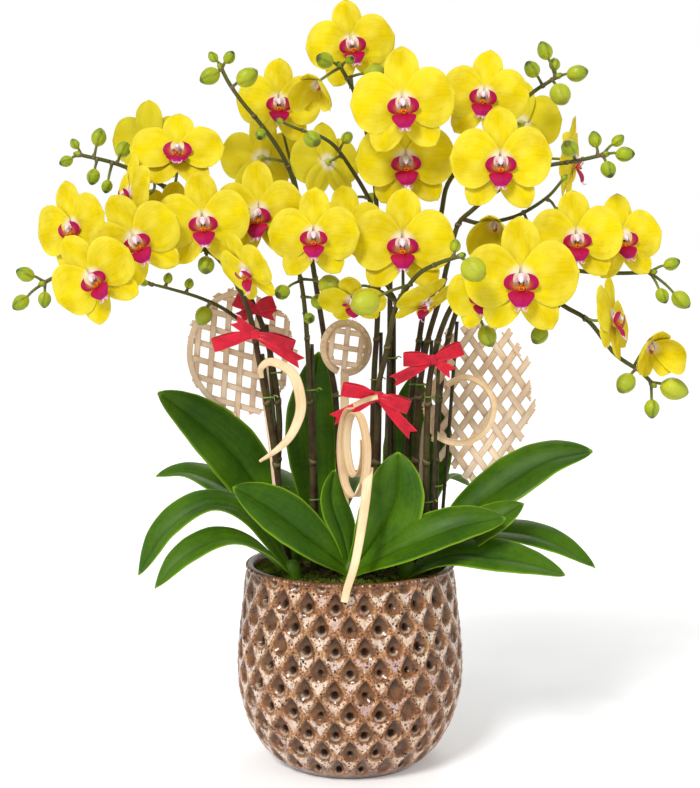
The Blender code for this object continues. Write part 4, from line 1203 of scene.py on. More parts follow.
@dataclass
class GrowingMedium:
    """Crowned bark and moss: a rough bed, loose chips in the middle and moss towards the rim."""

    edge_radius: float = 70.4
    edge_height: float = 139.0
    crown_height: float = 145.0
    skirt: float = 24.0
    bare_height: float = 130.0
    rings: int = 44
    columns: int = 150
    seed: int = 11

    def bed(self) -> Shape:
        """Closed bed with an uneven top.

        Returns:
            The bed, with marks for where moss and chips lie.
        """
        rng = np.random.default_rng(self.seed)
        radii = np.linspace(self.edge_radius, 1.0, self.rings)[:, None]
        top = self.crown_height - (self.crown_height - self.edge_height) * (radii / self.edge_radius) ** 2
        waves = np.zeros((self.rings, self.columns))
        for scale in (3, 5, 9, 14, 21, 30):
            phase = rng.uniform(0.0, math.tau, 2)
            waves += (np.sin(scale * circle(self.columns) + phase[0] + radii / 9.0)
                      * np.cos(scale * radii / 26.0 + phase[1])) / scale ** 0.6
        waves *= np.clip((self.edge_radius - radii) / 6.0, 0.2, 1.0)
        low = np.full((1, self.columns), self.edge_height - self.skirt)
        heights = np.concatenate([low, top + waves * 1.1])
        radii = np.concatenate([radii[:1], radii])
        rim = ramp(radii, 34.0, 22.0) * (heights > self.edge_height - 6.0)
        patchy = np.concatenate([low * 0.0, held(waves * 0.9 + 0.5)])
        above = heights > self.bare_height
        shape = Shape("medium_bed")
        shape.wrapped(turned(radii, heights, self.columns), 0,
                      {"moss": held(rim + patchy * 0.35) * above, "chips": held(1.15 - rim) * above})
        return shape

    @staticmethod
    def scatter_tree() -> Tree:
        """Geometry tree that strews one shape over a surface.

        Returns:
            The tree.
        """
        tree = Group("strewn_pieces", GEOMETRY_TREE, {"Geometry": "Geometry"}, Geometry="Geometry",
                     Object="Strewn", String="Share", Float="Density, Tilt", Int="Seed",
                     Vector="Smallest, Largest", Material="Finish")
        tilt = tree["Tilt"]
        strewn = tree.geo(
            "InstanceOnPoints",
            Points=tree.geo("DistributePointsOnFaces", Mesh=tree["Geometry"], Seed=tree["Seed"],
                            Density=tree.named(tree["Share"]) * tree["Density"]),
            Instance=tree.geo("ObjectInfo", "Geometry", Object=tree["Strewn"]),
            Rotation=tree.random(tree.point(tilt * -1.0, tilt * -1.0), tree.point(tilt, tilt, math.tau)),
            Scale=tree.random(tree["Smallest"], tree["Largest"]))
        return tree.dressed(tree.geo("RealizeInstances", Geometry=strewn), smooth=False)

    def chip(self) -> Shape:
        """Angular flake of bark.

        Returns:
            The flake.
        """
        rng = np.random.default_rng(self.seed + 1)
        rings = []
        for place, girth in ((-3.2, 0.5), (-1.6, 1.0), (1.2, 0.9), (3.0, 0.45)):
            reach = girth * rng.uniform(0.75, 1.25, 6)
            rings.append(grid(place + rng.uniform(-0.3, 0.3, 6), np.cos(circle(6)) * 1.9 * reach,
                              np.sin(circle(6)) * 1.0 * reach))
        shape = Shape("chip")
        shape.wrapped(np.array(rings))
        return shape

    def tuft(self) -> Shape:
        """Few curved strands of moss from one root.

        Returns:
            The tuft.
        """
        rng = np.random.default_rng(self.seed + 2)
        shape = Shape("tuft")
        for index in range(4):
            angle = math.tau * index / 4 + rng.uniform(-0.5, 0.5)
            lean = rng.uniform(0.9, 2.6)
            out = np.array([math.cos(angle), math.sin(angle), 0.0])
            route = [out * 0.2 - UP, out * lean * 0.45 + UP * 1.5, out * lean + UP * rng.uniform(2.0, 3.4)]
            shape.tube(np.array(route), (0.5, 0.55, 0.12), 3)
        return shape

    def build(self) -> None:
        """Make the bed, the chips and the moss."""
        bed = self.bed()
        bed.piece(Slot.MEDIUM, [BARK], ["growing_medium"])
        tree = self.scatter_tree()
        for name, source, share, density, low, high, tilt, finish in (
                ("bark_chips", self.chip(), "chips", 52000.0, (0.7, 0.7, 0.7), (1.9, 1.6, 1.5), 0.7, BARK),
                ("moss", self.tuft(), "moss", 130000.0, (0.7, 0.7, 0.6), (1.5, 1.5, 1.35), 0.35, MOSS)):
            strewn = linked(name + "_source", source.mesh(finish))
            mesh = through_nodes(name, bed.mesh(BARK), tree, {
                "Strewn": strewn, "Share": share, "Density": density, "Seed": self.seed,
                "Smallest": low, "Largest": high, "Tilt": tilt, "Finish": finish.material()})
            bpy.data.objects.remove(strewn, do_unlink=True)
            register(name, mesh, [])


class Opening(Enum):
    """How far a bloom has opened: petal tilt, petal curl, sepal tilt, dish and ripple."""

    FLAT = (0.06, 0.10, 0.03, 0.10, 0.7)
    CUPPED = (0.14, 0.10, 0.08, -0.02, 0.5)
    REFLEXED = (0.04, 0.18, 0.00, 0.16, 0.9)
    HALF = (0.85, -0.28, 0.75, -0.60, 0.3)


@dataclass
class BloomMaker:
    """Detailed bloom drawn at one span across, facing -Y with its centre at the origin.

    Dorsal sepal, lower sepals and petals each have an angle from straight up, a length and half
    of their breadth.
    """

    span: float = 70.0
    thickness: float = 0.55
    hub_back: float = 3.2
    root: float = 0.8
    dorsal: Triple = (0.0, 37.5, 11.9)
    sepal: Triple = (146.0, 36.5, 10.9)
    petal: Triple = (86.0, 35.8, 20.2)
    crimson: Colour = (0.420, 0.001, 0.035)
    magenta: Colour = (0.420, 0.003, 0.120)
    pale: Colour = (0.860, 0.560, 0.720)
    orange: Colour = (0.800, 0.180, 0.008)
    gold: Colour = (0.920, 0.620, 0.030)
    white: Colour = (0.880, 0.740, 0.800)
    blush: Colour = (0.820, 0.360, 0.500)
    speckle: Colour = (0.420, 0.010, 0.008)
    green: Colour = (0.420, 0.480, 0.060)

    def tepal(self, shape: Shape, angle: float, length: float, half: float, lift: float, tilt: float,
              curl: float, dish: float, ripple: float, rng: Draws, peak: float = 0.52,
              base: float = 0.30) -> None:
        """Add a petal or a sepal.

        Args:
            shape: Shape that takes it.
            angle: Angle from straight up, in degrees.
            length: Length from the bloom's centre.
            half: Half of the widest breadth.
            lift: Distance of its root in front of the centre.
            tilt: Rise towards the front along it.
            curl: Fall towards the back at its tip.
            dish: Fall of its sides towards the back, as a share of their breadth.
            ripple: Height of the waves along its sides.
            rng: Random draws.
            peak: Share of its length at the widest point.
            base: Breadth at its root as a share of the widest.
        """
        rows, columns = (24, 17) if half > 15.0 else (20, 13)
        share = np.sin(np.linspace(0.02, math.pi / 2 - 0.012, rows))[:, None]
        across = breadth(columns)
        rise = base + (1.0 - base) * np.sin(math.pi / 2 * held(share / peak)) ** 0.9
        fall = (1.0 - ramp(share, peak, 1.0 - peak) ** 2.2) ** 0.47
        turn = math.radians(angle)
        out = np.array([math.sin(turn), 0.0, math.cos(turn)])
        side = np.array([math.cos(turn), 0.0, -math.sin(turn)])
        grow = np.where(across < 0 if angle > 0 else across > 0, 1.05, 0.97)
        width = half * np.minimum(rise, 1.0) * fall * (across * grow)
        closing = 1.0 - 0.45 * max(tilt - 0.3, 0.0) * share
        reach = (self.root + share * closing * (length - self.root)) * (1 - 0.035 * across ** 2)
        phase = rng.uniform(0.0, math.tau, 3)
        wave = (np.sin(share * 9.0 + phase[0] + across * 1.2) * across ** 2
                + 0.5 * np.sin(share * 17.0 + phase[1]) * np.abs(across) ** 3)
        swell = (np.sin(share * 4.0 + phase[2]) * 0.5
                 + np.cos(across * 6.6 + phase[0] * 0.3) * 0.75 * np.sin(math.pi * share) ** 0.8)
        forward = (lift + tilt * share * length - curl * share ** 2 * length
                   - dish * np.abs(width) * np.abs(across) + ripple * wave + swell * 0.6
                   - ridge(across, 0.10) * (1.0 - share) * 0.8)
        points = out * reach[..., None] + side * width[..., None] + FORWARD * forward[..., None]
        away = np.linalg.norm(points[..., [0, 2]], axis=2)
        edge = np.maximum(ramp(np.abs(across), 0.8, 0.2), ramp(share, 0.9, 0.1))
        heart = held(1.0 - (away - 2.0) / 9.5)
        shape.sheet(points, self.thickness * (1.25 - 0.6 * edge), None, 0,
                    {"heart": heart, "edge": edge, "back": 1.0}, {"back": 0.0})

    def side_lobe(self, shape: Shape, hand: int) -> None:
        """Add one erect side lobe of the lip, curved in beside the column.

        Args:
            shape: Shape that takes it.
            hand: Side of the bloom, -1 or 1.
        """
        spine = smooth_route([(1.4, -4.6, -7.2), (4.6, -5.6, -6.8), (7.2, -7.2, -4.6),
                              (7.9, -8.6, -1.2), (6.6, -9.6, 1.8), (4.6, -10.0, 3.0)], 14)
        share = shares(14)
        across = np.linspace(-0.5, 0.5, 9)
        width = (0.8 + 6.6 * np.sin(math.pi * held(share * 0.90 + 0.05)) ** 0.7)
        bulge = (0.25 - across ** 2) * width * 0.5
        points = (spine[:, None] + (across * width)[..., None] * np.array([-0.80, -0.24, 0.12])
                  + bulge[..., None] * np.array([0.5, 0.4, -0.4]))
        inner = ramp(across, 0.08, 0.3) * held(1.05 - share * 1.5)
        lining = mixed(self.gold, self.orange, np.cos((across + 0.5) * 16.0) * 0.5 + 0.5)
        tint = mixed(mixed(self.crimson, self.magenta, share * 0.6), lining,
                     np.maximum(inner * 0.9, held(1.0 - share / 0.30) * 0.8))
        shape.sheet(points * (hand, 1, 1), 0.55, None, 1, {"tint": tint})

    def rod(self, shape: Shape, knots: Route, radii: Sequence[float], sides: int, tint: object,
            hand: int = 1) -> None:
        """Add a rounded tube, with one radius for each of its points.

        Args:
            shape: Shape that takes it.
            knots: Points that it passes.
            radii: Its radii.
            sides: Number of sides.
            tint: Its colour, one or one for each radius.
            hand: Side of the bloom, -1 or 1.
        """
        route = smooth_route([(x * hand, y, z) for x, y, z in knots], len(radii))
        shape.tube(route, radii, sides, 1, {"tint": tint})

    def mid_lobe(self, shape: Shape) -> None:
        """Add the trowel-shaped middle lobe of the lip with its two tendrils.

        Args:
            shape: Shape that takes it.
        """
        spine = smooth_route([(0, -5.6, -7.6), (0, -8.2, -9.4), (0, -10.3, -12.2), (0, -11.0, -15.2),
                              (0, -10.6, -18.4)], 18)
        share = shares(18)
        across = breadth(13)
        half = np.interp(share, [0.0, 0.12, 0.2, 0.3, 0.42, 0.56, 0.7, 0.82, 0.93, 1.0],
                         [1.5, 2.4, 5.8, 7.9, 8.3, 7.6, 6.2, 4.7, 3.2, 1.9])
        points = spine[:, None] + grid(
            half * across, 1.9 * across ** 2 * (half / 7.9) - 0.7 * ridge(across, 0.14),
            1.3 * across ** 2 * held(1 - share))
        tint = mixed(self.crimson, self.magenta, held(share * 1.6 - 0.5))
        tint = mixed(tint, self.pale, ramp(share, 0.90, 0.10) * (0.7 + 0.3 * np.abs(across)))
        tint = mixed(tint, self.orange, held(1 - share / 0.14) * 0.8)
        shape.sheet(points, 0.7, None, 1, {"tint": tint})
        for hand in (-1, 1):
            self.rod(shape, [(1.0, -10.8, -18.0), (1.9, -12.2, -19.6), (3.0, -13.6, -19.8),
                             (3.8, -14.2, -18.6)], np.linspace(0.6, 0.25, 9), 6, self.pale, hand)

    def column_and_callus(self, shape: Shape) -> None:
        """Add the column with its anther cap, the speckled callus and the receptacle behind.

        Args:
            shape: Shape that takes them.
        """
        share = np.linspace(0.0, 1.0, 10)
        self.rod(shape, [(0, 1.0, 0.2), (0, -2.6, 0.9), (0, -5.6, 0.4), (0, -8.0, -0.9)],
                 np.interp(share, [0, 0.5, 0.8, 1.0], [2.4, 2.6, 2.5, 1.7]), 12,
                 mixed(self.blush, self.white, held(share * 1.6 - 0.2)))
        self.rod(shape, [(0, -6.4, 0.6), (0, -8.2, -0.1), (0, -9.8, -1.7), (0, -10.0, -2.9)],
                 (0.7, 1.6, 1.9, 2.0, 1.8, 1.4, 0.9, 0.4), 12, self.white)
        for hand in (-1, 1):
            self.rod(shape, [(1.7, -3.6, 0.4), (2.5, -5.8, -0.6), (2.2, -8.0, -2.0)],
                     (0.4, 0.8, 1.0, 1.0, 0.9, 0.8, 0.6, 0.3), 8, self.blush, hand)
            self.rod(shape, [(0.9, -4.4, -6.6), (1.2, -6.6, -5.4), (1.1, -8.0, -6.2), (1.0, -8.4, -7.6)],
                     (0.6, 1.1, 1.4, 1.5, 1.4, 1.2, 0.9, 0.4), 8,
                     np.array(self.orange) * np.linspace(0.7, 1.0, 8)[:, None], hand)
            for x, y, z in ((1.4, -7.7, -4.7), (2.0, -7.4, -6.0), (0.6, -9.0, -6.6)):
                bead = [(x * hand, y, z), (x * hand, y - 0.35, z + 0.1), (x * hand, y - 0.6, z + 0.1)]
                shape.tube(np.array(bead), (0.45, 0.5, 0.15), 6, 1, {"tint": self.speckle})
        self.rod(shape, [(0, -2.0, -4.4), (0, -4.6, -6.0), (0, -6.6, -7.6)],
                 (1.6, 2.0, 2.1, 1.9, 1.6, 1.0), 10, self.gold)
        back = np.array([(0, -1.0, 0), (0, 0.8, 0), (0, 2.2, 0), (0, self.hub_back + 0.5, 0)])
        shape.tube(back, (3.6, 3.2, 2.0, 1.05), 10, 1, {"tint": self.green})

    def shape(self, name: str, opening: Opening, seed: int) -> Shape:
        """Whole bloom.

        Args:
            name: Name of the shape.
            opening: How far it has opened.
            seed: Seed of its small differences.

        Returns:
            The bloom's shape at the drawn span.
        """
        tilt, curl, sepal_tilt, dish, ripple = opening.value
        rng = np.random.default_rng(seed)
        shape = Shape(name)

        def vary(amount: float) -> float:
            """Draw a small difference."""
            return float(rng.uniform(-amount, amount))

        for hand, (angle, length, half), lift, sepal_curl, peak, base in (
                (1, self.dorsal, 0.2, 0.02, 0.56, 0.42), (-1, self.sepal, 0.4, 0.04, 0.54, 0.40),
                (1, self.sepal, 0.4, 0.04, 0.54, 0.40)):
            self.tepal(shape, hand * (angle + vary(3.0)), length * (1 + vary(0.03)), half, lift,
                       sepal_tilt, sepal_curl + vary(0.02), dish, ripple * 0.5, rng, peak, base)
        angle, length, half = self.petal
        for hand in (-1, 1):
            self.tepal(shape, hand * (angle + vary(2.5)), length * (1 + vary(0.02)),
                       half * (1 + vary(0.03)), 2.8 + 0.25 * hand, tilt, curl + vary(0.02), dish,
                       ripple, rng)
        if opening is not Opening.HALF:
            self.side_lobe(shape, -1)
            self.side_lobe(shape, 1)
            self.mid_lobe(shape)
        self.column_and_callus(shape)
        return shape


def facing(yaw: float, pitch: float, roll: float = 0.0) -> Array:
    """Matrix that turns a bloom from facing -Y.

    Args:
        yaw: Turn about Z in degrees.
        pitch: Lift of its face in degrees.
        roll: Turn about its own axis in degrees.

    Returns:
        Three by three matrix.
    """
    turns = zip((yaw, -pitch, -roll), "ZXY")
    about_z, about_x, about_y = (Matrix.Rotation(math.radians(angle), 3, axis) for angle, axis in turns)
    return np.array(about_z @ about_x @ about_y)


@dataclass
class Bloom:
    """Place of one open bloom, and the spike that carries it."""

    name: str
    centre: Point
    span: float
    yaw: float
    pitch: float
    roll: float
    spike: str
    root: Point | None = None

    def turn(self) -> Array:
        """Matrix that turns a bloom from facing -Y."""
        return facing(self.yaw, self.pitch, self.roll)

    def build(self, maker: BloomMaker, index: int) -> None:
        """Make the bloom piece.

        Args:
            maker: Maker of the drawn bloom.
            index: Number of the bloom, which picks its opening and its seed.
        """
        openings = (Opening.FLAT, Opening.CUPPED, Opening.REFLEXED)
        drawn = maker.shape(self.name, openings[index % 3], 100 + index)
        placed = Shape(self.name + "_petals")
        placed.merge(drawn, self.turn() * (self.span / maker.span), np.array(self.centre))
        placed.piece(Slot.PETAL, [PETAL, LIP], [self.name], 70.0)


@dataclass
class Spike:
    """Flower spike: stem, side branches, buds and half-open blooms."""

    name: str
    stem: list[Point]
    buds: list[tuple[float, float, float, float]]
    branches: list[list[Point]] = field(default_factory=list)
    half_open: list[tuple[float, float, float, float, float, float]] = field(default_factory=list)
    radius: float = 2.7
    tip_radius: float = 1.4
    branch_radius: float = 1.7
    sleeve_spacing: float = 46.0
    bark: Colour = (0.036, 0.015, 0.007)
    purple: Colour = (0.056, 0.022, 0.010)
    olive: Colour = (0.080, 0.078, 0.014)
    lime: Colour = (0.240, 0.300, 0.030)
    papery: Colour = (0.150, 0.110, 0.045)
    stick: Colour = (0.030, 0.020, 0.012)
    tie: Colour = (0.180, 0.330, 0.040)
    tie_end: Colour = (0.300, 0.420, 0.050)

    def nearest(self, target: Array) -> Array:
        """Nearest point of the stem or a branch, as the solids have it.

        Args:
            target: Point to look from.

        Returns:
            The nearest point.
        """
        found = []
        for route in [self.stem[1:]] + self.branches:
            for first, second in zip(route, route[1:]):
                start = np.array(first, dtype=float)
                span = np.array(second) - start
                share = min(max((target - start).dot(span) / span.dot(span), 0.05), 0.95)
                found.append(start + span * share)
        return min(found, key=lambda point: np.linalg.norm(point - target))

    def tones(self, low: float, high: float, count: int) -> Marks:
        """Marks of a stalk's colour, from bark at 0 to lime at 2.

        Args:
            low: Tone at the stalk's root.
            high: Tone at its end.
            count: Number of its points.

        Returns:
            The marks.
        """
        places = np.linspace(low, high, count)
        tones = zip(self.bark, self.purple, self.olive, self.lime)
        return {"tint": np.stack([np.interp(places, (0.0, 0.6, 1.2, 2.0), tone) for tone in tones], axis=1)}

    def stalk(self, shape: Shape, knots: Route, radii: Pair, tones: Pair, sides: int = 8, count: int = 8,
              length: float = 1.0) -> None:
        """Add a tapering stalk.

        Args:
            shape: Shape that takes it.
            knots: Points that it passes.
            radii: Radius at its root and at its end.
            tones: Tone at its root and at its end.
            sides: Number of sides.
            count: Number of points along it.
            length: Second UV coordinate at its end.
        """
        shape.tube(smooth_route(knots, count), np.linspace(*radii, count), sides, 0,
                   self.tones(*tones, count), length)

    def bloom_stalk(self, shape: Shape, bloom: Bloom, maker: BloomMaker) -> None:
        """Add the stalk of one bloom.

        Args:
            shape: Shape that takes it.
            bloom: Bloom that it carries.
            maker: Maker of the drawn bloom.
        """
        back = bloom.turn() @ -FORWARD
        centre = np.array(bloom.centre, dtype=float)
        end = centre + back * (maker.hub_back * bloom.span / maker.span)
        root = self.nearest(centre + back * 26.0 - UP * 6.0)
        if bloom.root is not None:
            root = np.array(bloom.root, dtype=float)
        target = end + back * 2.5
        reach = np.linalg.norm(target - root) * 0.55
        t = shares(14)
        route = ((1 - t) ** 3 * root + 3 * (1 - t) ** 2 * t * (root + UP * reach * 0.3)
                 + 3 * (1 - t) * t ** 2 * (target + back * reach) + t ** 3 * target)
        radii = np.interp(np.linspace(0, 1, 15), [0, 0.2, 0.7, 1], [1.5, 1.15, 1.0, 1.1])
        shape.tube(np.concatenate([route, [end]]), radii, 8, 0, self.tones(0.8, 2.0, 15))
        self.bract(shape, root, route[4] - root)

    def bract(self, shape: Shape, root: Array, direction: Array) -> None:
        """Add the small papery scale under a stalk's root.

        Args:
            shape: Shape that takes it.
            root: Root of the stalk.
            direction: Way the stalk grows.
        """
        run = unit(direction)
        side = unit(np.cross(run, (0.3, 0.9, 0.1)))
        share = shares(6)
        angle = breadth(5) * 1.3 * (1 - share * 0.6)
        around = side * np.sin(angle)[..., None] + np.cross(run, side) * np.cos(angle)[..., None]
        reach = 1.75 * (1 + share * 0.2) * (1 - share ** 3 * 0.3)
        points = root + run * (share * 4.0 - 1.0)[..., None] + around * reach[..., None]
        shape.sheet(points, 0.35, None, 0, {"tint": self.papery})

    def supports(self, shape: Shape) -> None:
        """Add the slim dark stick beside the lower stem and its soft ties.

        Args:
            shape: Shape that takes them.
        """
        reach = next(index for index, point in enumerate(self.stem) if point[2] > 300.0)
        route = smooth_route(self.stem[:reach + 1], 30)
        foot, top = route[0], route[-1]
        offset = np.array([3.6, 2.4, 0.0])
        stick = [foot + offset + UP * (FOOT_HEIGHT - foot[2]), foot + offset,
                 (foot + top) / 2 + offset, top + offset * 0.9]
        shape.tube(smooth_route(stick, 16), 1.35, 8, 0, {"tint": self.stick})
        turn = np.linspace(0.0, math.tau, 15)
        long, short = np.cos(turn) * 4.6, np.sin(turn) * 3.4
        loop = grid(long * 0.83 - short * 0.55, long * 0.55 + short * 0.83, turn * 0.25)
        tail = loop[-1] + np.array([(0.0, 0.0, 0.0), (1.6, -1.8, 0.6), (3.2, -2.6, -0.6)])
        for share in (0.34, 0.82):
            centre = route[int(share * 29)] + offset / 2
            shape.tube(centre + loop, 0.55, 6, 0, {"tint": self.tie})
            shape.tube(centre + tail, 0.5, 6, 0, {"tint": self.tie_end})

    @staticmethod
    def bud_shape() -> Shape:
        """Bud of unit radius along Z: three sepals folded over one another, with a pointed end.

        Returns:
            The bud.
        """
        t = np.linspace(0.02, 0.99, 16)[:, None]
        turn = circle(24)
        fold = np.zeros((16, 24))
        for sepal in range(3):
            lean = (turn - 0.4 - sepal * math.tau / 3 - 0.5 * (t - 0.5) + math.pi) % math.tau - math.pi
            fold += ridge(lean, 0.15)
        radius = np.sin(math.pi * t ** 0.92) ** 0.58 * (1 - 0.06 * t) * (1 - 0.075 * fold) * 0.97
        tint = mixed((0.430, 0.480, 0.012), (0.210, 0.300, 0.004), held(t * 1.3 - 0.15))
        tint = tint * (1 - 0.55 * held(fold)[..., None])
        shape = Shape("bud")
        shape.wrapped(turned(radius, -1.22 + 2.44 * t, 24), 0,
                      {"tint": mixed(tint, (0.030, 0.036, 0.004), ramp(t, 0.86, 0.08))})
        return shape

    def sleeve_shape(self) -> Shape:
        """Papery ring of unit radius round a node of the stem.

        Returns:
            The ring.
        """
        height, girth = np.array([(-1.2, 1.02), (-0.5, 1.16), (0.0, 1.26), (0.5, 1.30), (0.9, 1.12),
                                  (1.0, 0.9)]).T[..., None]
        rise = 0.5 * np.cos(circle(12)) * (height > -0.2)
        tones = zip((self.bark, self.bark, self.papery, self.papery, self.papery, self.bark),
                    (1.6, 2.0, 0.7, 1.0, 1.2, 1.0))
        tint = np.array([np.array(tone) * share for tone, share in tones])
        shape = Shape("sleeve")
        shape.wrapped(turned(girth, height + rise, 12), 0, {"tint": tint[:, None]})
        return shape

    @staticmethod
    def grown_tree() -> Tree:
        """Geometry tree that sets one shape on each point, aimed and sized by the point's marks.

        Returns:
            The tree.
        """
        tree = Group("grown_parts", GEOMETRY_TREE, {"Geometry": "Geometry"}, Geometry="Geometry",
                     Object="Part", Float="Spin", Int="Seed", Material="Finish")
        aimed = tree.signal("FunctionNodeAlignRotationToVector", "Rotation", axis="Z",
                            Vector=tree.named("aim", "FLOAT_VECTOR"))
        around = tree.point(z=tree.random(0.0, tree["Spin"], "FLOAT", Seed=tree["Seed"]))
        spun = tree.signal("FunctionNodeRotateRotation", "Rotation", rotation_space="LOCAL",
                           Rotation=aimed, Rotate_By=around)
        part = tree.geo("ObjectInfo", "Geometry", Object=tree["Part"])
        grown = tree.geo("InstanceOnPoints", Points=tree["Geometry"], Instance=part, Rotation=spun,
                         Scale=tree.named("girth"))
        return tree.dressed(tree.geo("RealizeInstances", Geometry=grown))

    def grown(self, name: str, tree: Tree, part: Item, finish: Finish,
              places: list[tuple[Array, Array, float, float]]) -> None:
        """Set a part on places along the spike.

        Args:
            name: Name of the piece.
            tree: Geometry tree that repeats the part.
            part: Object to repeat.
            finish: Its finish.
            places: Centre, direction, size in millimetres and ripeness of each.
        """
        centres, aims, girths, ripeness = zip(*places)
        mesh = bpy.data.meshes.new(name)
        mesh.from_pydata([tuple(centre * MM) for centre in centres], [], [])
        for label, kind, key, values in (("aim", "FLOAT_VECTOR", "vector", [unit(aim) for aim in aims]),
                                         ("girth", "FLOAT", "value", girths),
                                         ("ripe", "FLOAT", "value", ripeness)):
            layer = mesh.attributes.new(label, kind, "POINT")
            layer.data.foreach_set(key, np.array(values, dtype=float).ravel())
        made = through_nodes(name, mesh, tree, {"Part": part, "Spin": math.tau, "Seed": 7,
                                                "Finish": finish.material()})
        register(name, made, [])

    def opened(self, shape: Shape, maker: BloomMaker) -> None:
        """Make the half-open blooms, and add their stalks.

        Args:
            shape: Shape that takes the stalks.
            maker: Maker of the drawn bloom.
        """
        for index, (x, y, z, radius, yaw, pitch) in enumerate(self.half_open):
            turn = facing(yaw, pitch)
            back = turn @ -FORWARD
            centre = np.array([x, y, z]) + back * radius * 0.7
            opened = maker.shape(f"{self.name}_opening_{index}", Opening.HALF, 40 + index)
            placed = Shape(opened.name)
            placed.merge(opened, turn * (radius * 1.6 / 27.0), centre)
            placed.piece(Slot.PETAL, [PETAL, LIP], [])
            root = self.nearest(centre)
            bend = (root + centre) / 2 + back * 2.0
            self.stalk(shape, [root, bend, centre + back * 1.5], (1.2, 1.0), (1.0, 2.0))

    def build(self, maker: BloomMaker, blooms: list[Bloom], tree: Tree, parts: dict[str, Item]) -> None:
        """Make the spike's stem piece, its buds and its sleeves.

        Args:
            maker: Maker of the drawn bloom.
            blooms: All the open blooms.
            tree: Geometry tree that repeats a part.
            parts: The bud and the sleeve to repeat.
        """
        shape = Shape(self.name + "_stem")
        route = [(*self.stem[0][:2], FOOT_HEIGHT), *self.stem[1:]]
        self.stalk(shape, route, (self.radius, self.tip_radius), (0.0, 1.3), 12, 90, 90.0)
        for branch in self.branches:
            self.stalk(shape, branch, (self.branch_radius, 1.1), (0.7, 1.5), 10, 30, 30.0)
        self.supports(shape)
        for bloom in blooms:
            if bloom.spike == self.name:
                self.bloom_stalk(shape, bloom, maker)
        buds = []
        for x, y, z, radius in self.buds:
            centre = np.array([x, y, z], dtype=float)
            root = self.nearest(centre)
            away = unit(centre - root)
            self.stalk(shape, [root, (root + centre) / 2 + UP * 1.2, centre - away * radius * 0.8],
                       (1.15, 0.9), (1.0, 1.9))
            self.bract(shape, root, away)
            buds.append((centre, away, radius, ramp(radius, 5.6, 3.4)))
        self.opened(shape, maker)
        shape.piece(Slot.STEM, [STALK], [self.name], 60.0)
        for line in [self.stem] + self.branches:
            end = np.array(line[-1], dtype=float)
            run = unit(end - line[-2])
            if all(np.linalg.norm(end - bud[0]) > 9.0 for bud in buds):
                buds.append((end + run * 1.6, run, 2.5, 0.0))
        self.grown(self.name + "_buds", tree, parts["bud"], BUD, buds)
        stem = smooth_route(route, 90)
        length = path_length(stem)[-1]
        sleeves = []
        for place in np.arange(self.sleeve_spacing, length - 20.0, self.sleeve_spacing):
            index = int(place / length * 89)
            girth = self.radius + (self.tip_radius - self.radius) * index / 89
            sleeves.append((stem[index], stem[index + 1] - stem[index], girth, 0.0))
        self.grown(self.name + "_sleeves", tree, parts["sleeve"], STALK, sleeves)


@dataclass
class Leaf:
    """One leaf: spine from crown to tip, widest breadth, upper side and freshness."""

    spine: list[Point]
    breadth: float
    upper: Point
    fresh: float = 0.0

    def add(self, shape: Shape, rng: Draws) -> None:
        """Add the blade to a shape.

        Args:
            shape: Shape that takes it.
            rng: Random draws.
        """
        route = smooth_route(self.spine, 46)
        share = shares(46)
        side = breadth(19)
        direction = run_directions(route)
        across = scaled_to_one(np.cross(direction, self.upper))
        normal = np.cross(across, direction)
        half = self.breadth / 2 * np.interp(
            share, [0, 0.08, 0.18, 0.3, 0.44, 0.58, 0.72, 0.84, 0.92, 0.97, 1.0],
            [0.26, 0.32, 0.50, 0.72, 0.91, 1.0, 0.93, 0.72, 0.48, 0.26, 0.03])
        phase = rng.uniform(0.0, math.tau, 2)
        wave = (np.sin(share * 8.0 + phase[0]) * side ** 2 * 0.7
                + np.sin(share * 13.0 + phase[1]) * side ** 3 * 0.5)
        keel = half * (0.22 * np.abs(side) ** 0.85 + 0.10 * np.sin(math.pi * np.abs(side)))
        lift = keel - 0.7 * ridge(side, 0.05) * held(1.15 - share) + wave
        points = (route[:, None] + across[:, None] * (half * side)[..., None]
                  + normal[:, None] * lift[..., None])
        thickness = 1.7 * (0.35 + 0.65 * (1 - np.abs(side) ** 3)) * (1 - 0.4 * share)
        marks = {"edge": np.maximum(ramp(np.abs(side), 0.93, 0.05), ramp(share, 0.985, 0.01)),
                 "rib": ridge(side, 0.045) * held((1.0 - share) * 4.0) * 0.225,
                 "young": self.fresh + 0.25 * held(0.12 - share) / 0.12, "back": 1.0}
        shape.sheet(points, thickness, grid((side + 1) / 2, share + phase[0]), 0, marks,
                    {"back": 0.0, "rib": 0.0})


@dataclass
class Rosette:
    """Plant of a few leaves on a short crown, whose rings are heights and radii."""

    name: str
    crown: Pair
    leaves: list[Leaf]
    rings: Pairs = ((FOOT_HEIGHT, 6.4), (140.0, 6.9), (144.0, 6.2), (145.0, 6.8), (149.0, 6.0),
                    (150.0, 6.3), (154.0, 4.6), (157.0, 2.6))

    def build(self, index: int) -> None:
        """Make the rosette piece.

        Args:
            index: Number of the plant, which seeds its leaves.
        """
        rng = np.random.default_rng(60 + index)
        shape = Shape(self.name + "_blades")
        for leaf in self.leaves:
            leaf.add(shape, rng)
        height, radius = np.array(self.rings).T[..., None]
        rings = turned(radius, height, 20) * (1.15, 0.85, 1.0) + (*self.crown, 0.0)
        shape.wrapped(rings, 0, {"back": 0.6, "young": 0.1})
        shape.piece(Slot.LEAF, [BLADE], [self.name], 60.0)


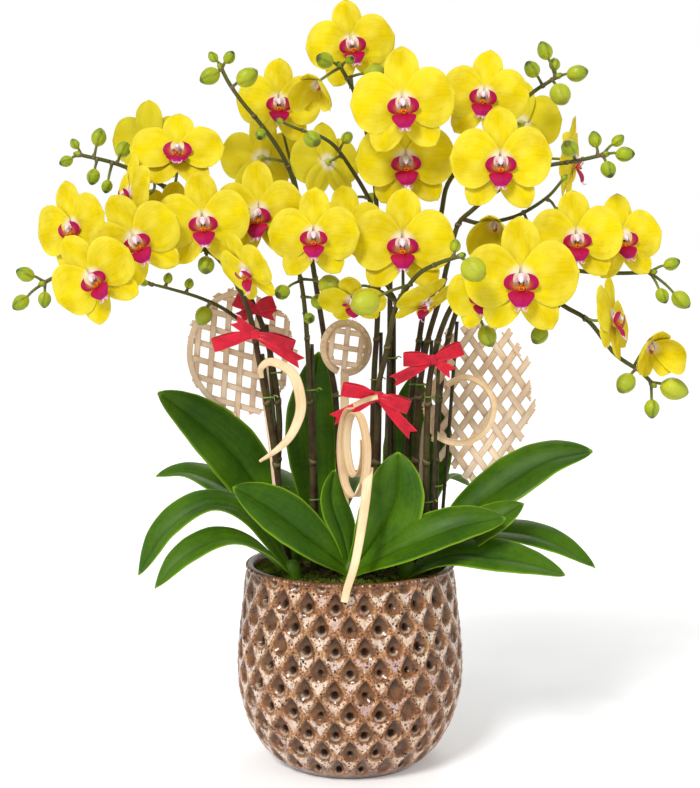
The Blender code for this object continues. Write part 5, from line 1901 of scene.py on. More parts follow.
def flat_strip(shape: Shape, route: Array, widths: Array | float,
               across: Sequence[float] | Array | None = None, thickness: float = 1.0,
               camber: float = 0.35) -> None:
    """Add a flat strip of bamboo or ribbon along a route.

    Args:
        shape: Shape that takes it.
        route: Points of its middle line.
        widths: Width, one or one for each point.
        across: Direction of its width, one or one for each point; square to its run in the XZ
            plane where none is given.
        thickness: Thickness.
        camber: Height of its rounded face.
    """
    run = run_directions(route)
    side = grid(-run[:, 2], 0.0, run[:, 0])
    if across is not None:
        side = across - run * (run * across).sum(axis=1, keepdims=True)
    side = scaled_to_one(side)
    s = breadth(7)
    width = np.broadcast_to(widths, len(route))[:, None]
    points = (route[:, None] + side[:, None] * (width / 2 * s)[..., None]
              + np.cross(run, side)[:, None] * (camber * (1 - s ** 2))[:, None])
    uv = grid((s + 1) / 2, path_length(route)[:, None] / 10.0)
    shape.sheet(points, thickness, uv, 0, {"edge": ramp(np.abs(s), 0.72, 0.28)})


def flared(route: Array, centre: Sequence[float], lean: float = 0.7) -> Array:
    """Width directions of a ring whose band flares out towards the back, more so with more lean."""
    return scaled_to_one((route - centre) * (1, 0, 1)) * lean - FORWARD * 0.72


WEAVE_SIZES = ("Angle, Other Angle, Pitch, Other Pitch, Strip, Wave, Half Width, Half Height, "
               "Ragged, Thickness, Seed, Length")


@dataclass
class Panel:
    """Woven bamboo panel on a stake."""

    name: str
    centre: Point
    half: Pair
    stake: list[Point]
    angles: Pair
    pitches: Pair
    strip: float
    ragged: float
    seed: int
    rim: Pair | None = None
    wave: float = 0.75
    thickness: float = 0.7
    margin: float = 3.0

    @staticmethod
    def strips_tree() -> Tree:
        """Geometry tree of parallel strips in the XZ plane that pass over and under the crossing ones.

        Returns:
            The tree.
        """
        tree = Group("parallel_strips", GEOMETRY_TREE, {"Geometry": "Geometry"},
                     Float=WEAVE_SIZES + ", Side", Int="Count")
        angle, pitch = tree["Angle"], tree["Pitch"]
        blank = tree.geo("MeshGrid", "Mesh", Size_X=tree["Strip"], Size_Y=tree["Length"], Vertices_X=5,
                         Vertices_Y=110)
        first = pitch * ((tree["Count"] - 1.0) * -0.5)
        row = tree.geo("MeshLine", "Mesh", Count=tree["Count"], Start_Location=tree.point(first),
                       Offset=tree.point(pitch))
        real = tree.geo("RealizeInstances",
                        Geometry=tree.geo("InstanceOnPoints", Points=row, Instance=blank))
        upright = tree.geo("Transform", Geometry=real, Rotation=tree.point(math.pi / 2, angle))
        x, _, z = tree.split(tree.geo("InputPosition"))

        def measure(lean: Signal, spacing: Signal) -> Signal:
            """Distance across strips that lean by an angle, in pitches."""
            return (x * tree.math("COSINE", lean) - z * tree.math("SINE", lean)) / spacing

        own = measure(angle, pitch)
        other = measure(tree["Other Angle"], tree["Other Pitch"])
        along = x * tree.math("SINE", angle) + z * tree.math("COSINE", angle)
        number = own.nearest()
        wave = (tree.math("COSINE", number * math.pi) * tree.math("COSINE", other * math.pi)
                * tree["Side"] * tree["Wave"])
        chance = tree.chance(tree.point(
            number, along.above(0.0) * (3.5 - number.absolute()).above(0.0), tree["Seed"]))
        high = z / tree["Half Height"]
        narrowing = 1.0 - (high.squared() * 0.35) * (1.0 - z.above(0.0))
        wide = x / (tree["Half Width"] * narrowing)
        outside = (wide.squared() + high.squared() - (chance - 0.5) * tree["Ragged"]).above(1.0)
        offset = (own - number) * pitch / tree["Strip"]
        marked = tree.stored(upright, edge=(offset.absolute() * 2.0).step(0.7, 1.0))
        marked = tree.stored(marked, "FLOAT2", "CORNER",
                             UVMap=tree.point(number * 3.7 + offset + 0.5, along * 100.0))
        cut = tree.geo("DeleteGeometry", domain="FACE", mode="ALL", Geometry=marked, Selection=outside)
        waved = tree.geo("SetPosition", Geometry=cut, Offset=tree.point(y=wave))
        wall = tree.geo("ExtrudeMesh", "Mesh", Mesh=waved, Offset_Scale=tree["Thickness"],
                        Individual=False)
        back = tree.geo("FlipFaces", "Mesh", Mesh=waved)
        return tree.finished(Geometry=tree.geo("MergeByDistance", Geometry=tree.joined(back, wall),
                                               Distance=0.00001))

    @staticmethod
    def weave_tree(strips: Tree) -> Tree:
        """Geometry tree that crosses two sets of strips and joins them to the stake.

        Args:
            strips: Tree of parallel strips.

        Returns:
            The tree.
        """
        tree = Group("weave", GEOMETRY_TREE, {"Geometry": "Geometry"}, Geometry="Geometry",
                     Float=WEAVE_SIZES, Int="Count", Vector="Place", Material="Finish")
        shared = {name: tree[name] for name in ["Count", *WEAVE_SIZES.split(", ")[4:]]}

        def laid(side: float, own: str, other: str) -> Signal:
            """One of the two sets of strips, which leads with its side of the wave.

            Args:
                side: Side of the wave it starts on, -1 or 1.
                own: Word before its own sizes.
                other: Word before the other set's sizes.

            Returns:
                The strips.
            """
            return tree.grouped(strips, "Geometry", Side=side, Angle=tree[own + "Angle"],
                                Other_Angle=tree[other + "Angle"], Pitch=tree[own + "Pitch"],
                                Other_Pitch=tree[other + "Pitch"], **shared)

        crossed = tree.joined(laid(1.0, "", "Other "), laid(-1.0, "Other ", ""))
        moved = tree.geo("Transform", Geometry=crossed, Translation=tree["Place"])
        return tree.dressed(tree.joined(moved, tree["Geometry"]), smooth=False)

    def woven(self, tree: Tree, carrier: Shape) -> Mesh:
        """Mesh of the weave, joined to the shape that carries it.

        Args:
            tree: Geometry tree of the weave.
            carrier: Shape that carries the weave.

        Returns:
            The mesh.
        """
        mesh = through_nodes(self.name + "_weave", carrier.mesh(WOVEN), tree, {
            "Angle": math.radians(self.angles[0]), "Other Angle": math.radians(self.angles[1]),
            "Pitch": self.pitches[0] * MM, "Other Pitch": self.pitches[1] * MM,
            "Strip": self.strip * MM, "Wave": self.wave * MM, "Thickness": self.thickness * MM,
            "Half Width": (self.half[0] + self.margin) * MM,
            "Half Height": (self.half[1] + self.margin) * MM,
            "Ragged": self.ragged, "Seed": float(self.seed), "Length": 2.3 * max(self.half) * MM,
            "Count": int(2.4 * max(self.half) / min(self.pitches)) // 2 * 2 + 1,
            "Place": tuple(value * MM for value in self.centre), "Finish": WOVEN.material()})
        mesh.set_sharp_from_angle(angle=math.radians(45.0))
        return mesh

    def build(self, tree: Tree) -> None:
        """Make the panel piece.

        Args:
            tree: Geometry tree of the weave.
        """
        shape = Shape(self.name + "_stake")
        route = [*self.stake[:-1], (*self.stake[-1][:2], FOOT_HEIGHT)]
        flat_strip(shape, smooth_route(route, 50), 6.0, (1.0, 0.0, 0.0), 1.6)
        if self.rim is not None:
            angle = np.radians(np.linspace(*self.rim, 60))
            low = 1.0 - 0.30 * held(-np.sin(angle)) ** 2
            arc = grid(np.cos(angle) * (self.half[0] + 0.5) * low, -1.2,
                       np.sin(angle) * (self.half[1] + 0.5))
            flat_strip(shape, self.centre + arc, 4.2, None, 0.8, 0.2)
        register(self.name + "_weave", self.woven(tree, shape), [self.name])


@dataclass
class Hoop:
    """Small bent bamboo hoop on its stake, filled with a coarse weave."""

    centre: Point = (-3.0, 8.0, 308.0)
    radii: Pair = (17.0, 19.0)
    width: float = 6.5
    stake: Route = ((-4, 9, 290), (-4, 10, 220), (-4, 10, FOOT_HEIGHT))

    def ring(self, share: float) -> Array:
        """Route round the hoop, at a share of its radii.

        Args:
            share: Share of its radii.

        Returns:
            Points of the route.
        """
        angle = np.radians(np.linspace(-100.0, 250.0, 60))
        return self.centre + share * grid(np.cos(angle) * self.radii[0], 0.0,
                                          np.sin(angle) * self.radii[1])

    def build(self, tree: Tree) -> None:
        """Make the hoop piece and the weave inside it.

        Args:
            tree: Geometry tree of the weave.
        """
        inner = Shape("hoop_inner_strip")
        route = self.ring(0.90)
        flat_strip(inner, route, 3.0, flared(route, self.centre))
        half = (self.radii[0] - 1.5, self.radii[1] - 1.5)
        weave = Panel("hoop", self.centre, half, [], (6.0, 99.0), (11.0, 11.8), 4.2, 0.0, 9)
        register("hoop_weave", weave.woven(tree, inner), [])
        route = self.ring(1.0)
        shape = Shape("hoop_strip")
        flat_strip(shape, route, self.width, flared(route, self.centre))
        flat_strip(shape, smooth_route(self.stake, 40), 6.0, (1.0, 0.0, 0.0), 1.6)
        shape.piece(Slot.BAMBOO, [SPLIT], ["bamboo_hoop"], 45.0)


@dataclass
class Curls:
    """Three curled strips of split bamboo."""

    sickle: Route = ((-64.2, -29.3, 289), (-64.5, -33, 296), (-59, -38, 301), (-51, -42, 300),
                     (-41, -43, 293), (-36, -43, 278), (-36, -43, 264), (-43, -43, 248),
                     (-53, -44, 238), (-65, -45, 230))
    ring: Route = ((69.1, 4.5, 304), (76, -4, 300), (68, -6, 289), (60, -7, 276), (57, -8, 262),
                   (61, -9, 248), (72, -10, 240), (86, -10, 239), (99, -10, 246), (106, -10, 259),
                   (105, -11, 273), (96, -12, 284), (83, -13, 288), (71, -14, 282))
    ring_centre: Point = (81.0, -10.0, 264.0)
    loop_centre: Point = (3.0, -54.0, 238.0)
    loop_axis: Point = (0.8, 0.6, 0.0)
    loop_radii: Pair = (15.0, 32.0)
    link: Route = ((20, -30.8, 275), (15, -34, 274), (9, -44, 273), (3, -50, 271))
    tail: Route = ((13, -60, 228), (10, -70, 200), (4, -80, 166), (-2, -86, 147), (-4, -87, 138))

    def left(self, shape: Shape) -> None:
        """Sickle that narrows to a point.

        Args:
            shape: Shape that takes it.
        """
        share = np.linspace(0.0, 1.0, 80)
        widths = 7.6 * np.clip(np.sin(math.pi * (share * 0.86 + 0.10)), 0.06, 1.0) ** 0.8
        flat_strip(shape, smooth_route(self.sickle, 80), widths)

    def centre(self, shape: Shape) -> None:
        """Hanging coil of two turns with its link and flat tail.

        Args:
            shape: Shape that takes it.
        """
        axis = np.array(self.loop_axis)
        wide, high = self.loop_radii
        share = shares(150)
        angle = np.radians(100.0 + share * 640.0)
        shrink = 1.0 - 0.36 * ramp(share, 0.42, 0.3)
        route = (self.loop_centre + np.cross(axis, UP) * np.cos(angle) * wide * shrink
                 + UP * (np.sin(angle) * high * shrink + (1 - shrink) * 8.0) + axis * (share - 0.4) * 3.0)
        flat_strip(shape, route, 7.0, axis)
        flat_strip(shape, smooth_route(self.tail, 60), np.linspace(7.0, 5.0, 60), (1.0, 0.0, 0.0), 1.4)
        flat_strip(shape, smooth_route(self.link, 24), 3.5, (0.1, 0.1, 1.0), 1.4)

    def right(self, shape: Shape) -> None:
        """Open ring of thin bamboo."""
        route = smooth_route(self.ring, 110)
        flat_strip(shape, route, np.linspace(5.8, 4.3, 110), flared(route, self.ring_centre, 1.7))

    def build(self) -> None:
        """Make the three curls."""
        for name, draw in (("left", self.left), ("centre", self.centre), ("right", self.right)):
            shape = Shape(f"curl_{name}_strip")
            draw(shape)
            shape.piece(Slot.BAMBOO, [SPLIT], ["curl_" + name], 45.0)


@dataclass
class Bow:
    """Satin bow tied on the front of a stem: two loops, two tails, knot and band.

    The fold gives a loop's way as shares of its reach, and as millimetres forwards and aside.
    """

    name: str
    stem: Point
    shift: float
    loops: tuple[Pair, Pair]
    tails: tuple[Pair, Pair]
    fold: Route = ((0.0, 1.0, 0.0), (0.28, 3.4, 0.6), (0.62, 4.0, 0.4), (0.93, 2.2, 0.0), (1.04, 0.2, 0.2),
                   (0.94, -1.4, 1.0), (0.55, -1.6, 1.6), (0.2, -0.8, 0.8), (0.0, 0.2, 0.0))
    band: Pairs = ((-2.6, 3.2), (-2.4, 3.6), (2.4, 3.6), (2.6, 3.2))

    def build(self, index: int) -> None:
        """Make the bow piece.

        Args:
            index: Number of the bow, which seeds its creases.
        """
        rng = np.random.default_rng(80 + index)
        shape = Shape(self.name + "_satin")
        knot = np.array(self.stem) + (self.shift, -5.8, 0.0)
        for dx, dz in self.loops:
            self.loop(shape, knot, np.array([dx, 0.0, dz]), rng)
        for hand, (dx, dz) in zip((-1, 1), self.tails):
            self.tail(shape, knot, np.array([dx, 0.0, dz]), hand)
        self.knot(shape, knot)
        shape.piece(Slot.SATIN, [SATIN], [self.name], 60.0)

    @staticmethod
    def ribbon(shape: Shape, points: Array, length: float) -> None:
        """Add a thin ribbon over a grid of points.

        Args:
            shape: Shape that takes it.
            points: Grid of points.
            length: Second UV coordinate at its end.
        """
        s = breadth(points.shape[1])
        uv = grid(s, np.linspace(0.0, length, len(points))[:, None])
        shape.sheet(points, 0.5, uv, 0, {"edge": ramp(np.abs(s), 0.86, 0.14)})

    def loop(self, shape: Shape, knot: Array, reach: Array, rng: Draws) -> None:
        """Add one loop of two layers that meet in a soft fold.

        Args:
            shape: Shape that takes it.
            knot: Middle of the knot.
            reach: Way from the knot to the loop's end.
            rng: Random draws.
        """
        run = unit(reach)
        side = np.array([-run[2], 0.0, run[0]]) * (1.0 if run[0] > 0 else -1.0)
        length = np.linalg.norm(reach)
        route = smooth_route([knot + reach * along + FORWARD * forward + side * aside
                              for along, forward, aside in self.fold], 56)
        share = np.linalg.norm(route - knot, axis=1)[:, None] / length
        width = np.interp(share, [0.0, 0.15, 0.45, 0.8, 1.1], [4.2, 5.2, 8.4, 9.6, 9.8])
        s = breadth(9)
        crease = np.cos(s * 7.0 + rng.uniform(0, 3)) * held(0.55 - share) * 1.1
        self.ribbon(shape, route[:, None] + side * (width / 2 * s)[..., None]
                    + FORWARD * crease[..., None], length / 2)

    def tail(self, shape: Shape, knot: Array, reach: Array, hand: int) -> None:
        """Add one tail with a notched end.

        Args:
            shape: Shape that takes it.
            knot: Middle of the knot.
            reach: Way from the knot to the tail's end.
            hand: Side of the bow, -1 or 1.
        """
        route = smooth_route([knot + (0, 0.4, -0.5), knot + reach * 0.25 + (0, -2.6, 0.5),
                              knot + reach * 0.6 + (0, -3.8, 0), knot + reach + (0, -2.8, 0)], 36)
        run = run_directions(route)[:, None]
        side = scaled_to_one(grid(-run[..., 2], 0.0, run[..., 0]))
        s = breadth(9)
        share = shares(36)
        width = np.interp(share, [0.0, 0.3, 1.0], [4.0, 7.2, 8.6])
        fold = 1.3 * np.sin(share * 5.0 + hand) * s - 0.9 * np.abs(s)
        notch = ramp(share, 0.7, 0.3) * (np.abs(s) - 0.6) * 3.6
        self.ribbon(shape, route[:, None] + side * (width / 2 * s)[..., None]
                    + FORWARD * fold[..., None] * 0.6 + run * notch[..., None],
                    np.linalg.norm(reach) / 4)

    def knot(self, shape: Shape, knot: Array) -> None:
        """Add the creased knot and the band round the stem.

        Args:
            shape: Shape that takes them.
            knot: Middle of the knot.
        """
        turn = circle(28)
        height = breadth(11)[:, None]
        swell = ((1 - 0.22 * height ** 4) * (1 - 0.05 * np.cos(turn * 4 + height * 2.5))
                 * np.where(np.abs(height) > 0.95, 0.80, 1.0))
        x, y = (np.sign(wave) * np.abs(wave) ** 0.75 * radius * swell
                for wave, radius in ((np.cos(turn), 3.5), (np.sin(turn), 2.9)))
        shape.wrapped(knot + grid(x, y, height * 3.6), length=9.0)
        height, radius = np.array(self.band).T[..., None]
        shape.wrapped(self.stem + turned(radius, height, 28), length=9.0)


@dataclass
class Studio:
    """Pale floor, bright surroundings, soft lamps and the photo's camera."""

    floor_reach: float = 60.0
    floor_tone: float = 0.88
    floor_glow: float = 0.22
    sky_least: float = 0.40
    sky_more: float = 0.30
    sun_power: float = 2.45
    sun_spread: float = 16.0
    sun_way: Point = (0.42, 0.85, -0.80)
    lens: float = 68.5
    eye: Point = (0.0, -1.116, 0.387)
    eye_tilt: float = 87.23

    def floor(self) -> None:
        """Large pale floor."""
        mesh = bpy.data.meshes.new("floor")
        reach = self.floor_reach
        mesh.from_pydata([(-reach, -reach, 0), (reach, -reach, 0), (reach, reach, 0), (-reach, reach, 0)],
                         [], [(0, 1, 2, 3)])
        material = bpy.data.materials.new("floor_white")
        material.use_nodes = True
        for name, value in (("Base Color", (*(self.floor_tone,) * 3, 1.0)), ("Roughness", 0.9),
                            ("Specular IOR Level", 0.1), ("Emission Color", (1.0,) * 4),
                            ("Emission Strength", self.floor_glow)):
            material.node_tree.nodes["Principled BSDF"].inputs[name].default_value = value
        mesh.materials.append(material)
        linked("floor", mesh)

    def surroundings(self) -> None:
        """White surroundings that give a softer light than they show, least overhead."""
        world = bpy.data.worlds.new("studio")
        world.use_nodes = True
        graph = Graph(world.node_tree)
        given = graph.split(graph.place("Generated"))[2].step(0.8, 0.1) * self.sky_more + self.sky_least
        seen = graph.signal("ShaderNodeLightPath", "Is Camera Ray")
        background = world.node_tree.nodes["Background"]
        graph.feed(background.inputs["Color"], (1.0,) * 3)
        graph.feed(background.inputs["Strength"], given.most(seen))
        bpy.context.scene.world = world
        bpy.context.scene.view_settings.view_transform = "Standard"

    @staticmethod
    def aimed(lamp: Item, way: Iterable[float]) -> None:
        """Turn a lamp so that it shines along a direction."""
        lamp.rotation_euler = Vector(way).to_track_quat("-Z", "Y").to_euler()

    def lamp(self, name: str, place: Point, target: Point, size: float, watts: float) -> None:
        """Add one soft lamp.

        Args:
            name: Name of the lamp.
            place: Its place in metres.
            target: Point it faces.
            size: Side of its square face.
            watts: Its power.
        """
        light = bpy.data.lights.new(name, "AREA")
        light.size = size
        light.energy = watts
        lamp = linked(name, light)
        lamp.location = place
        self.aimed(lamp, Vector(target) - Vector(place))

    def sun(self) -> None:
        """Add the broad key light from the upper left front."""
        light = bpy.data.lights.new("key", "SUN")
        light.energy = self.sun_power
        light.angle = math.radians(self.sun_spread)
        self.aimed(linked("key", light), self.sun_way)

    def camera(self) -> None:
        """Camera at the photo's viewpoint."""
        data = bpy.data.cameras.new("camera")
        data.lens = self.lens
        data.sensor_width = 36.0
        data.clip_start = 0.05
        data.shift_y = -0.1
        camera = linked("camera", data)
        camera.location = self.eye
        camera.rotation_euler = (math.radians(self.eye_tilt), 0.0, 0.0)
        bpy.context.scene.camera = camera

    def build(self) -> None:
        """Make the whole studio."""
        self.floor()
        self.surroundings()
        self.sun()
        self.lamp("fill", (1.3, -0.9, 0.9), (0.0, 0.0, 0.25), 1.2, 3.0)
        self.lamp("back", (0.3, 1.3, 1.4), (0.0, 0.0, 0.3), 1.0, 8.0)
        self.camera()


SPIKES = [
    Spike("spike_left_low", stem=[
        (-47, -15, 145), (-52, -18, 204), (-59, -22, 258), (-67, -28, 306), (-72, -34, 333),
        (-80, -40, 355), (-97, -52, 379), (-116, -56, 383), (-142, -58, 379), (-167, -60, 372),
        (-201, -64, 365), (-214, -67, 359)
    ], buds=[
        (-227, -68, 365, 5.6), (-230, -70, 345, 5.6), (-214, -66, 347, 4.9), (-101, -64, 371, 6.4)
    ]),
    Spike("spike_left_high", stem=[
        (-53, 8, 145), (-55, 6, 199), (-53, 2, 254), (-58, -4, 298), (-65, -8, 326), (-76, -12, 352),
        (-90, -16, 382), (-107, -20, 404), (-125, -24, 421), (-146, -28, 434), (-169, -32, 444),
        (-194, -36, 450)
    ], branches=[[
        (-64, -7, 320), (-77, -10, 327), (-94, -14, 339), (-111, -18, 347), (-130, -22, 353),
        (-145, -25, 357)
    ]], buds=[
        (-181, -30, 463, 5.8), (-203, -40, 445, 4.3), (-184, -38, 434, 5.1), (-165, -20, 455, 5.9),
        (-174, -40, 427, 4.3), (-142, -10, 465, 5.2), (-198, -33, 458, 3.6), (-133, -20, 361, 3.7),
        (-118, -16, 357, 3.7), (-108, -12, 333, 6.7), (-150, -27, 358, 3.0)
    ]),
    Spike("spike_top_left", stem=[
        (-8, 25, 145), (-8, 24, 200), (-11, 22, 269), (-17, 17, 301), (-23, 10, 339), (-29, -2, 378),
        (-35, -12, 404), (-38, -20, 420), (-44, -28, 440), (-53, -38, 457), (-65, -48, 473),
        (-76, -54, 486), (-85, -58, 499), (-90, -60, 509)
    ], buds=[
        (-96, -58, 517, 3.6), (-84, -64, 516, 4.3), (-98, -62, 503, 6.4), (-72, -58, 503, 7.1),
        (-63, -54, 463, 4.3)
    ]),
    Spike("spike_front_left", stem=[
        (-27, -18, 145), (-27, -20, 204), (-29, -22, 268), (-31, -26, 313), (-33, -32, 342),
        (-36, -38, 363), (-41, -44, 379), (-50, -48, 390)
    ], buds=[
        (-48, -58, 352, 5.7), (-29, -46, 333, 4.3), (-22, -50, 345, 5.8), (-14, -62, 357, 8.0)
    ]),
    Spike("spike_top_centre", stem=[
        (17, 5, 145), (17, 4, 222), (18, 2, 286), (20, 0, 320), (21, -2, 355), (20, -4, 393),
        (19, -8, 423), (15, -12, 452), (8, -20, 485), (0, -32, 501), (-7, -44, 512)
    ], branches=[[
        (19, -6, 409), (13, -10, 421), (4, -18, 436), (-9, -34, 454), (-20, -45, 462), (-34, -56, 466),
        (-48, -68, 471)
    ]], buds=[
        (-18, -56, 515, 6.1), (0, -58, 515, 3.6), (18, -46, 507, 7.2), (-26, -66, 459, 6.4),
        (-2, -26, 463, 4.4), (-3, 8, 419, 3.8)
    ], half_open=[(-23, -76, 494, 9.5, -20, -40)]),
    Spike("spike_centre", stem=[
        (30, 25, 145), (30, 22, 208), (30, 16, 278), (30, 8, 339), (30, 0, 385), (31, -6, 411),
        (35, -12, 433), (38, -20, 452), (40, -24, 470), (40, -24, 503)
    ], buds=[
        (25, 10, 434, 3.8), (16, 8, 421, 3.8)
    ]),
    Spike("spike_right_top", stem=[
        (43, 30, 145), (44, 26, 227), (47, 20, 272), (52, 12, 313), (58, 4, 355), (64, -2, 385),
        (68, -4, 411), (72, -6, 430), (84, -8, 446), (102, -10, 467), (122, -14, 486), (134, -18, 497),
        (150, -22, 507)
    ], buds=[
        (141, -22, 526, 5.9), (149, -16, 517, 4.4), (131, -28, 512, 5.9), (164, -28, 509, 6.6),
        (151, -34, 493, 8.0)
    ]),
    Spike("spike_front_arch", stem=[
        (20, -12, 145), (20, -14, 225), (21, -22, 280), (25, -30, 301), (28, -38, 319), (33, -52, 342),
        (39, -66, 354), (48, -82, 366), (60, -98, 373), (74, -110, 378)
    ], buds=[
        (82, -124, 369, 8.8), (71, -102, 385, 4.1), (10, -98, 346, 9.6)
    ]),
    Spike("spike_right_mid", stem=[
        (50, 14, 145), (50, 12, 229), (52, 8, 274), (58, 2, 314), (66, -6, 344), (71, -14, 369),
        (74, -18, 383), (79, -24, 401), (88, -28, 410), (101, -32, 421), (118, -36, 431),
        (138, -42, 441), (161, -50, 445), (179, -54, 449)
    ], branches=[[
        (82, -25, 404), (95, -26, 401), (113, -28, 404), (126, -32, 409), (142, -38, 420),
        (152, -42, 432)
    ]], buds=[
        (153, -66, 453, 6.4), (173, -52, 460, 5.0), (189, -54, 459, 4.3), (193, -60, 449, 5.7),
        (181, -62, 438, 5.7), (150, -30, 410, 2.9), (129, -42, 395, 6.5)
    ], half_open=[(101, -62, 397, 10.5, -16, -38)]),
    Spike("spike_right_wide", stem=[
        (64, 12, 145), (65, 10, 229), (69, 8, 286), (77, 4, 328), (90, -4, 355), (115, -14, 369),
        (143, -24, 370), (171, -30, 366), (196, -34, 365), (216, -40, 366)
    ], buds=[
        (230, -44, 372, 5.1), (223, -46, 349, 5.0), (237, -44, 346, 6.5)
    ]),
    Spike("spike_right_low", stem=[
        (55, -18, 145), (57, -20, 266), (62, -24, 306), (68, -32, 329), (76, -40, 345), (90, -48, 355),
        (111, -56, 360), (131, -62, 355), (151, -66, 342), (167, -70, 332), (184, -76, 310),
        (201, -80, 298), (209, -81, 290)
    ], buds=[
        (97, -60, 321, 7.0), (131, -80, 323, 6.3), (190, -86, 290, 6.9), (224, -84, 286, 8.3),
        (209, -82, 272, 5.6)
    ], half_open=[(208, -90, 314, 10.5, 8, -24)]),
]

BLOOMS = [
    Bloom("bloom_01", (-172, -108, 364), 62, -8, -8, 36, "spike_left_low", root=(-184, -62, 369)),
    Bloom("bloom_02", (-191, -74, 398), 62, -32, 0, 15, "spike_left_low"),
    Bloom("bloom_03", (-146, -92, 389), 64, 2, -4, 27, "spike_left_low"),
    Bloom("bloom_04", (-102, -74, 402), 66, 5, 0, 4, "spike_left_low"),
    Bloom("bloom_05", (-122, -50, 450), 66, 5, 38, 0, "spike_left_high"),
    Bloom("bloom_06", (-152, -71, 421), 54, -58, 5, 8, "spike_left_high", root=(-146, -28, 434)),
    Bloom("bloom_07", (-130, -43, 407), 48, 10, 6, -15, "spike_left_high"),
    Bloom("bloom_08", (-63, -54, 408), 70, -22, 0, 4, "spike_front_left"),
    Bloom("bloom_09", (-25, -78, 392), 62, 0, 2, 0, "spike_front_left"),
    Bloom("bloom_10", (-70, -92, 369), 52, -48, -28, 8, "spike_left_low"),
    Bloom("bloom_11", (37, -62, 387), 72, -2, 0, 0, "spike_front_arch"),
    Bloom("bloom_12", (-3, -44, 399), 58, 4, 12, 0, "spike_front_arch"),
    Bloom("bloom_13", (116, -100, 363), 77, -6, 0, 0, "spike_right_low"),
    Bloom("bloom_14", (156, -80, 390), 64, -2, 2, 4, "spike_right_wide"),
    Bloom("bloom_15", (193, -50, 390), 62, 12, 8, 5, "spike_right_wide"),
    Bloom("bloom_16", (178, -94, 335), 58, 62, 10, -25, "spike_right_low"),
    Bloom("bloom_18", (104, -76, 443), 70, -4, 0, 0, "spike_right_mid"),
    Bloom("bloom_19", (95, -46, 491), 64, -8, 6, -6, "spike_right_top"),
    Bloom("bloom_20", (37, -66, 484), 72, -3, 0, 4, "spike_centre", root=(40, -24, 500)),
    Bloom("bloom_21", (40, -40, 446), 70, -2, -4, 3, "spike_centre"),
    Bloom("bloom_22", (1, -24, 530), 64, 4, 6, 10, "spike_top_centre"),
    Bloom("bloom_24", (-52, -16, 489), 62, 6, 4, 0, "spike_top_left", root=(-38, -20, 420)),
    Bloom("bloom_25", (-16, -14, 446), 58, -150, -10, 0, "spike_top_centre"),
    Bloom("bloom_26", (163, -8, 448), 62, 72, -5, 0, "spike_right_mid"),
    Bloom("bloom_28", (91, -78, 351), 50, -20, -5, 10, "spike_right_low"),
    Bloom("bloom_29", (2, -64, 348), 48, -10, -48, 0, "spike_front_arch"),
    Bloom("bloom_30", (53, -58, 346), 46, 40, -50, 0, "spike_front_arch"),
    Bloom("bloom_32", (-66, 12, 450), 62, -165, 5, 0, "spike_top_left"),
    Bloom("bloom_33", (128, 14, 476), 62, 160, 5, 0, "spike_right_top"),
    Bloom("bloom_34", (-148, 8, 462), 60, 170, 12, 0, "spike_left_high"),
]

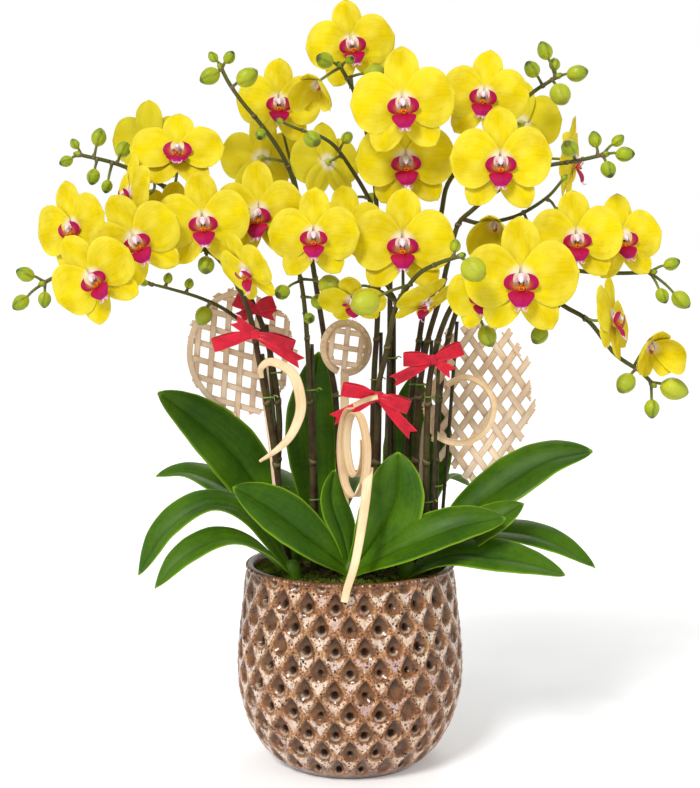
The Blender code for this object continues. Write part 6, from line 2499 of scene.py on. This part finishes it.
ROSETTES = [
    Rosette("leaves_left", (-38, 19), [
        Leaf([(-38, 19, 146), (-58, 19, 180), (-84, 9, 222), (-112, -4, 252), (-141, -18, 277)],
             46, (0.0, -0.8, 0.6)),
        Leaf([(-38, 19, 144), (-62, 27, 174), (-95, 36, 196), (-125, 40, 208), (-150, 38, 206)],
             36, (0.1, -0.35, 1.0)),
    ]),
    Rosette("leaves_left_front", (-42, -38), [
        Leaf([(-42, -38, 146), (-70, -42, 186), (-100, -46, 199), (-130, -52, 182), (-151, -56, 150)],
             34, (0.0, -0.35, 1.0)),
        Leaf([(-42, -38, 144), (-64, -58, 168), (-90, -72, 178), (-116, -82, 168), (-135, -88, 148)],
             32, (0.0, -0.3, 1.0)),
    ]),
    Rosette("leaves_front", (0, -38), [
        Leaf([(0, -38, 148), (-18, -50, 166), (-42, -62, 188), (-64, -70, 205), (-82, -74, 216)],
             38, (0.3, -0.8, 0.5)),
        Leaf([(0, -38, 148), (-6, -36, 175), (-14, -34, 200), (-12, -34, 222)],
             28, (0.7, -0.7, 0.2)),
        Leaf([(0, -38, 148), (18, -42, 172), (32, -42, 200), (35, -40, 236)],
             46, (-0.2, -1.0, 0.1)),
        Leaf([(0, -38, 146), (28, -54, 164), (56, -62, 178), (84, -64, 188), (110, -62, 192)],
             38, (-0.1, -0.6, 0.8)),
    ]),
    Rosette("leaves_right_front", (42, -34), [
        Leaf([(42, -34, 146), (72, -36, 164), (100, -36, 182), (126, -36, 198)],
             36, (-0.1, -0.5, 0.85)),
        Leaf([(42, -34, 144), (70, -52, 162), (100, -58, 163), (130, -56, 157), (154, -52, 149)],
             34, (0.0, -0.5, 0.85)),
    ]),
    Rosette("leaves_right", (60, -2), [
        Leaf([(60, -2, 148), (86, -4, 182), (116, -6, 206), (148, -8, 225), (180, -10, 232)],
             44, (-0.2, -0.6, 0.8)),
        Leaf([(60, -2, 148), (90, 4, 166), (122, 6, 168), (154, 4, 160), (184, 0, 143)],
             32, (0.0, -0.4, 0.9)),
    ]),
    Rosette("leaves_back_left", (-20, 46), [
        Leaf([(-20, 46, 146), (-27, 46, 195), (-31, 44, 245), (-28, 40, 278), (-24, 37, 303)],
             40, (0.1, -1.0, 0.1)),
        Leaf([(-20, 46, 144), (-46, 68, 184), (-72, 88, 200), (-96, 104, 190)],
             40, (-0.2, 0.2, 1.0)),
        Leaf([(-20, 46, 144), (-14, 76, 182), (-8, 106, 196), (-4, 134, 186)],
             40, (0.0, 0.1, 1.0)),
    ]),
    Rosette("leaves_back_right", (34, 48), [
        Leaf([(34, 48, 146), (42, 52, 195), (48, 53, 245), (50, 51, 284)],
             42, (0.1, -1.0, 0.1)),
        Leaf([(34, 48, 146), (54, 42, 188), (66, 38, 226), (71, 36, 262)],
             32, (-0.3, -0.9, 0.2)),
        Leaf([(34, 48, 144), (54, 74, 180), (76, 94, 196), (98, 108, 188)],
             40, (0.2, 0.2, 1.0)),
    ]),
]

PANELS = [
    Panel("panel_left", (-82.0, 10.0, 303.0), (38.0, 46.0),
          [(-66, 10, 290), (-63, 10, 268), (-58, -4, 238), (-54, -6, 200), (-51, -6, 165), (-51, -6, 128)],
          (4.0, 106.0), (11.0, 12.6), 4.5, 0.22, 3, (78.0, 262.0)),
    Panel("panel_right", (98.0, 26.0, 264.0), (40.0, 62.0),
          [(66, 25, 262), (58, 24, 246), (55, 24, 200), (54, 24, 128)],
          (35.0, -35.0), (12.0, 12.0), 5.3, 0.35, 5),
]

BOWS = [
    Bow("bow_left", (-69.9, -31.3, 321.0), 1.2, ((-29, -8), (27, -9)), ((-14, 10), (33, -20))),
    Bow("bow_left_back", (-70.1, -9.8, 338.0), 0.0, ((-14, 7), (14, 5)), ((-11, -6), (15, -4))),
    Bow("bow_centre", (20.9, -21.3, 275.0), -0.8, ((-25, 5), (22, -8)), ((-32, -16), (25, -27))),
    Bow("bow_right", (61.5, -23.6, 302.0), -0.8, ((-21, 0), (20, 8)), ((-29, -15), (13, -9))),
]


def main() -> None:
    """Build every piece in place of the CAD's nodes, then the studio."""
    logging.basicConfig(level=logging.INFO, format="%(message)s")
    Pot().build()
    GrowingMedium().build()
    maker = BloomMaker()
    for index, bloom in enumerate(BLOOMS):
        bloom.build(maker, index)
    grown = Spike.grown_tree()
    parts = {"bud": linked("bud_source", Spike.bud_shape().mesh(BUD)),
             "sleeve": linked("sleeve_source", SPIKES[0].sleeve_shape().mesh(STALK))}
    for spike in SPIKES:
        spike.build(maker, BLOOMS, grown, parts)
    for part in parts.values():
        bpy.data.objects.remove(part, do_unlink=True)
    for index, rosette in enumerate(ROSETTES):
        rosette.build(index)
    weave = Panel.weave_tree(Panel.strips_tree())
    for panel in PANELS:
        panel.build(weave)
    Hoop().build(weave)
    Curls().build()
    for index, bow in enumerate(BOWS):
        bow.build(index)
    Studio().build()


if __name__ == "__main__":
    main()
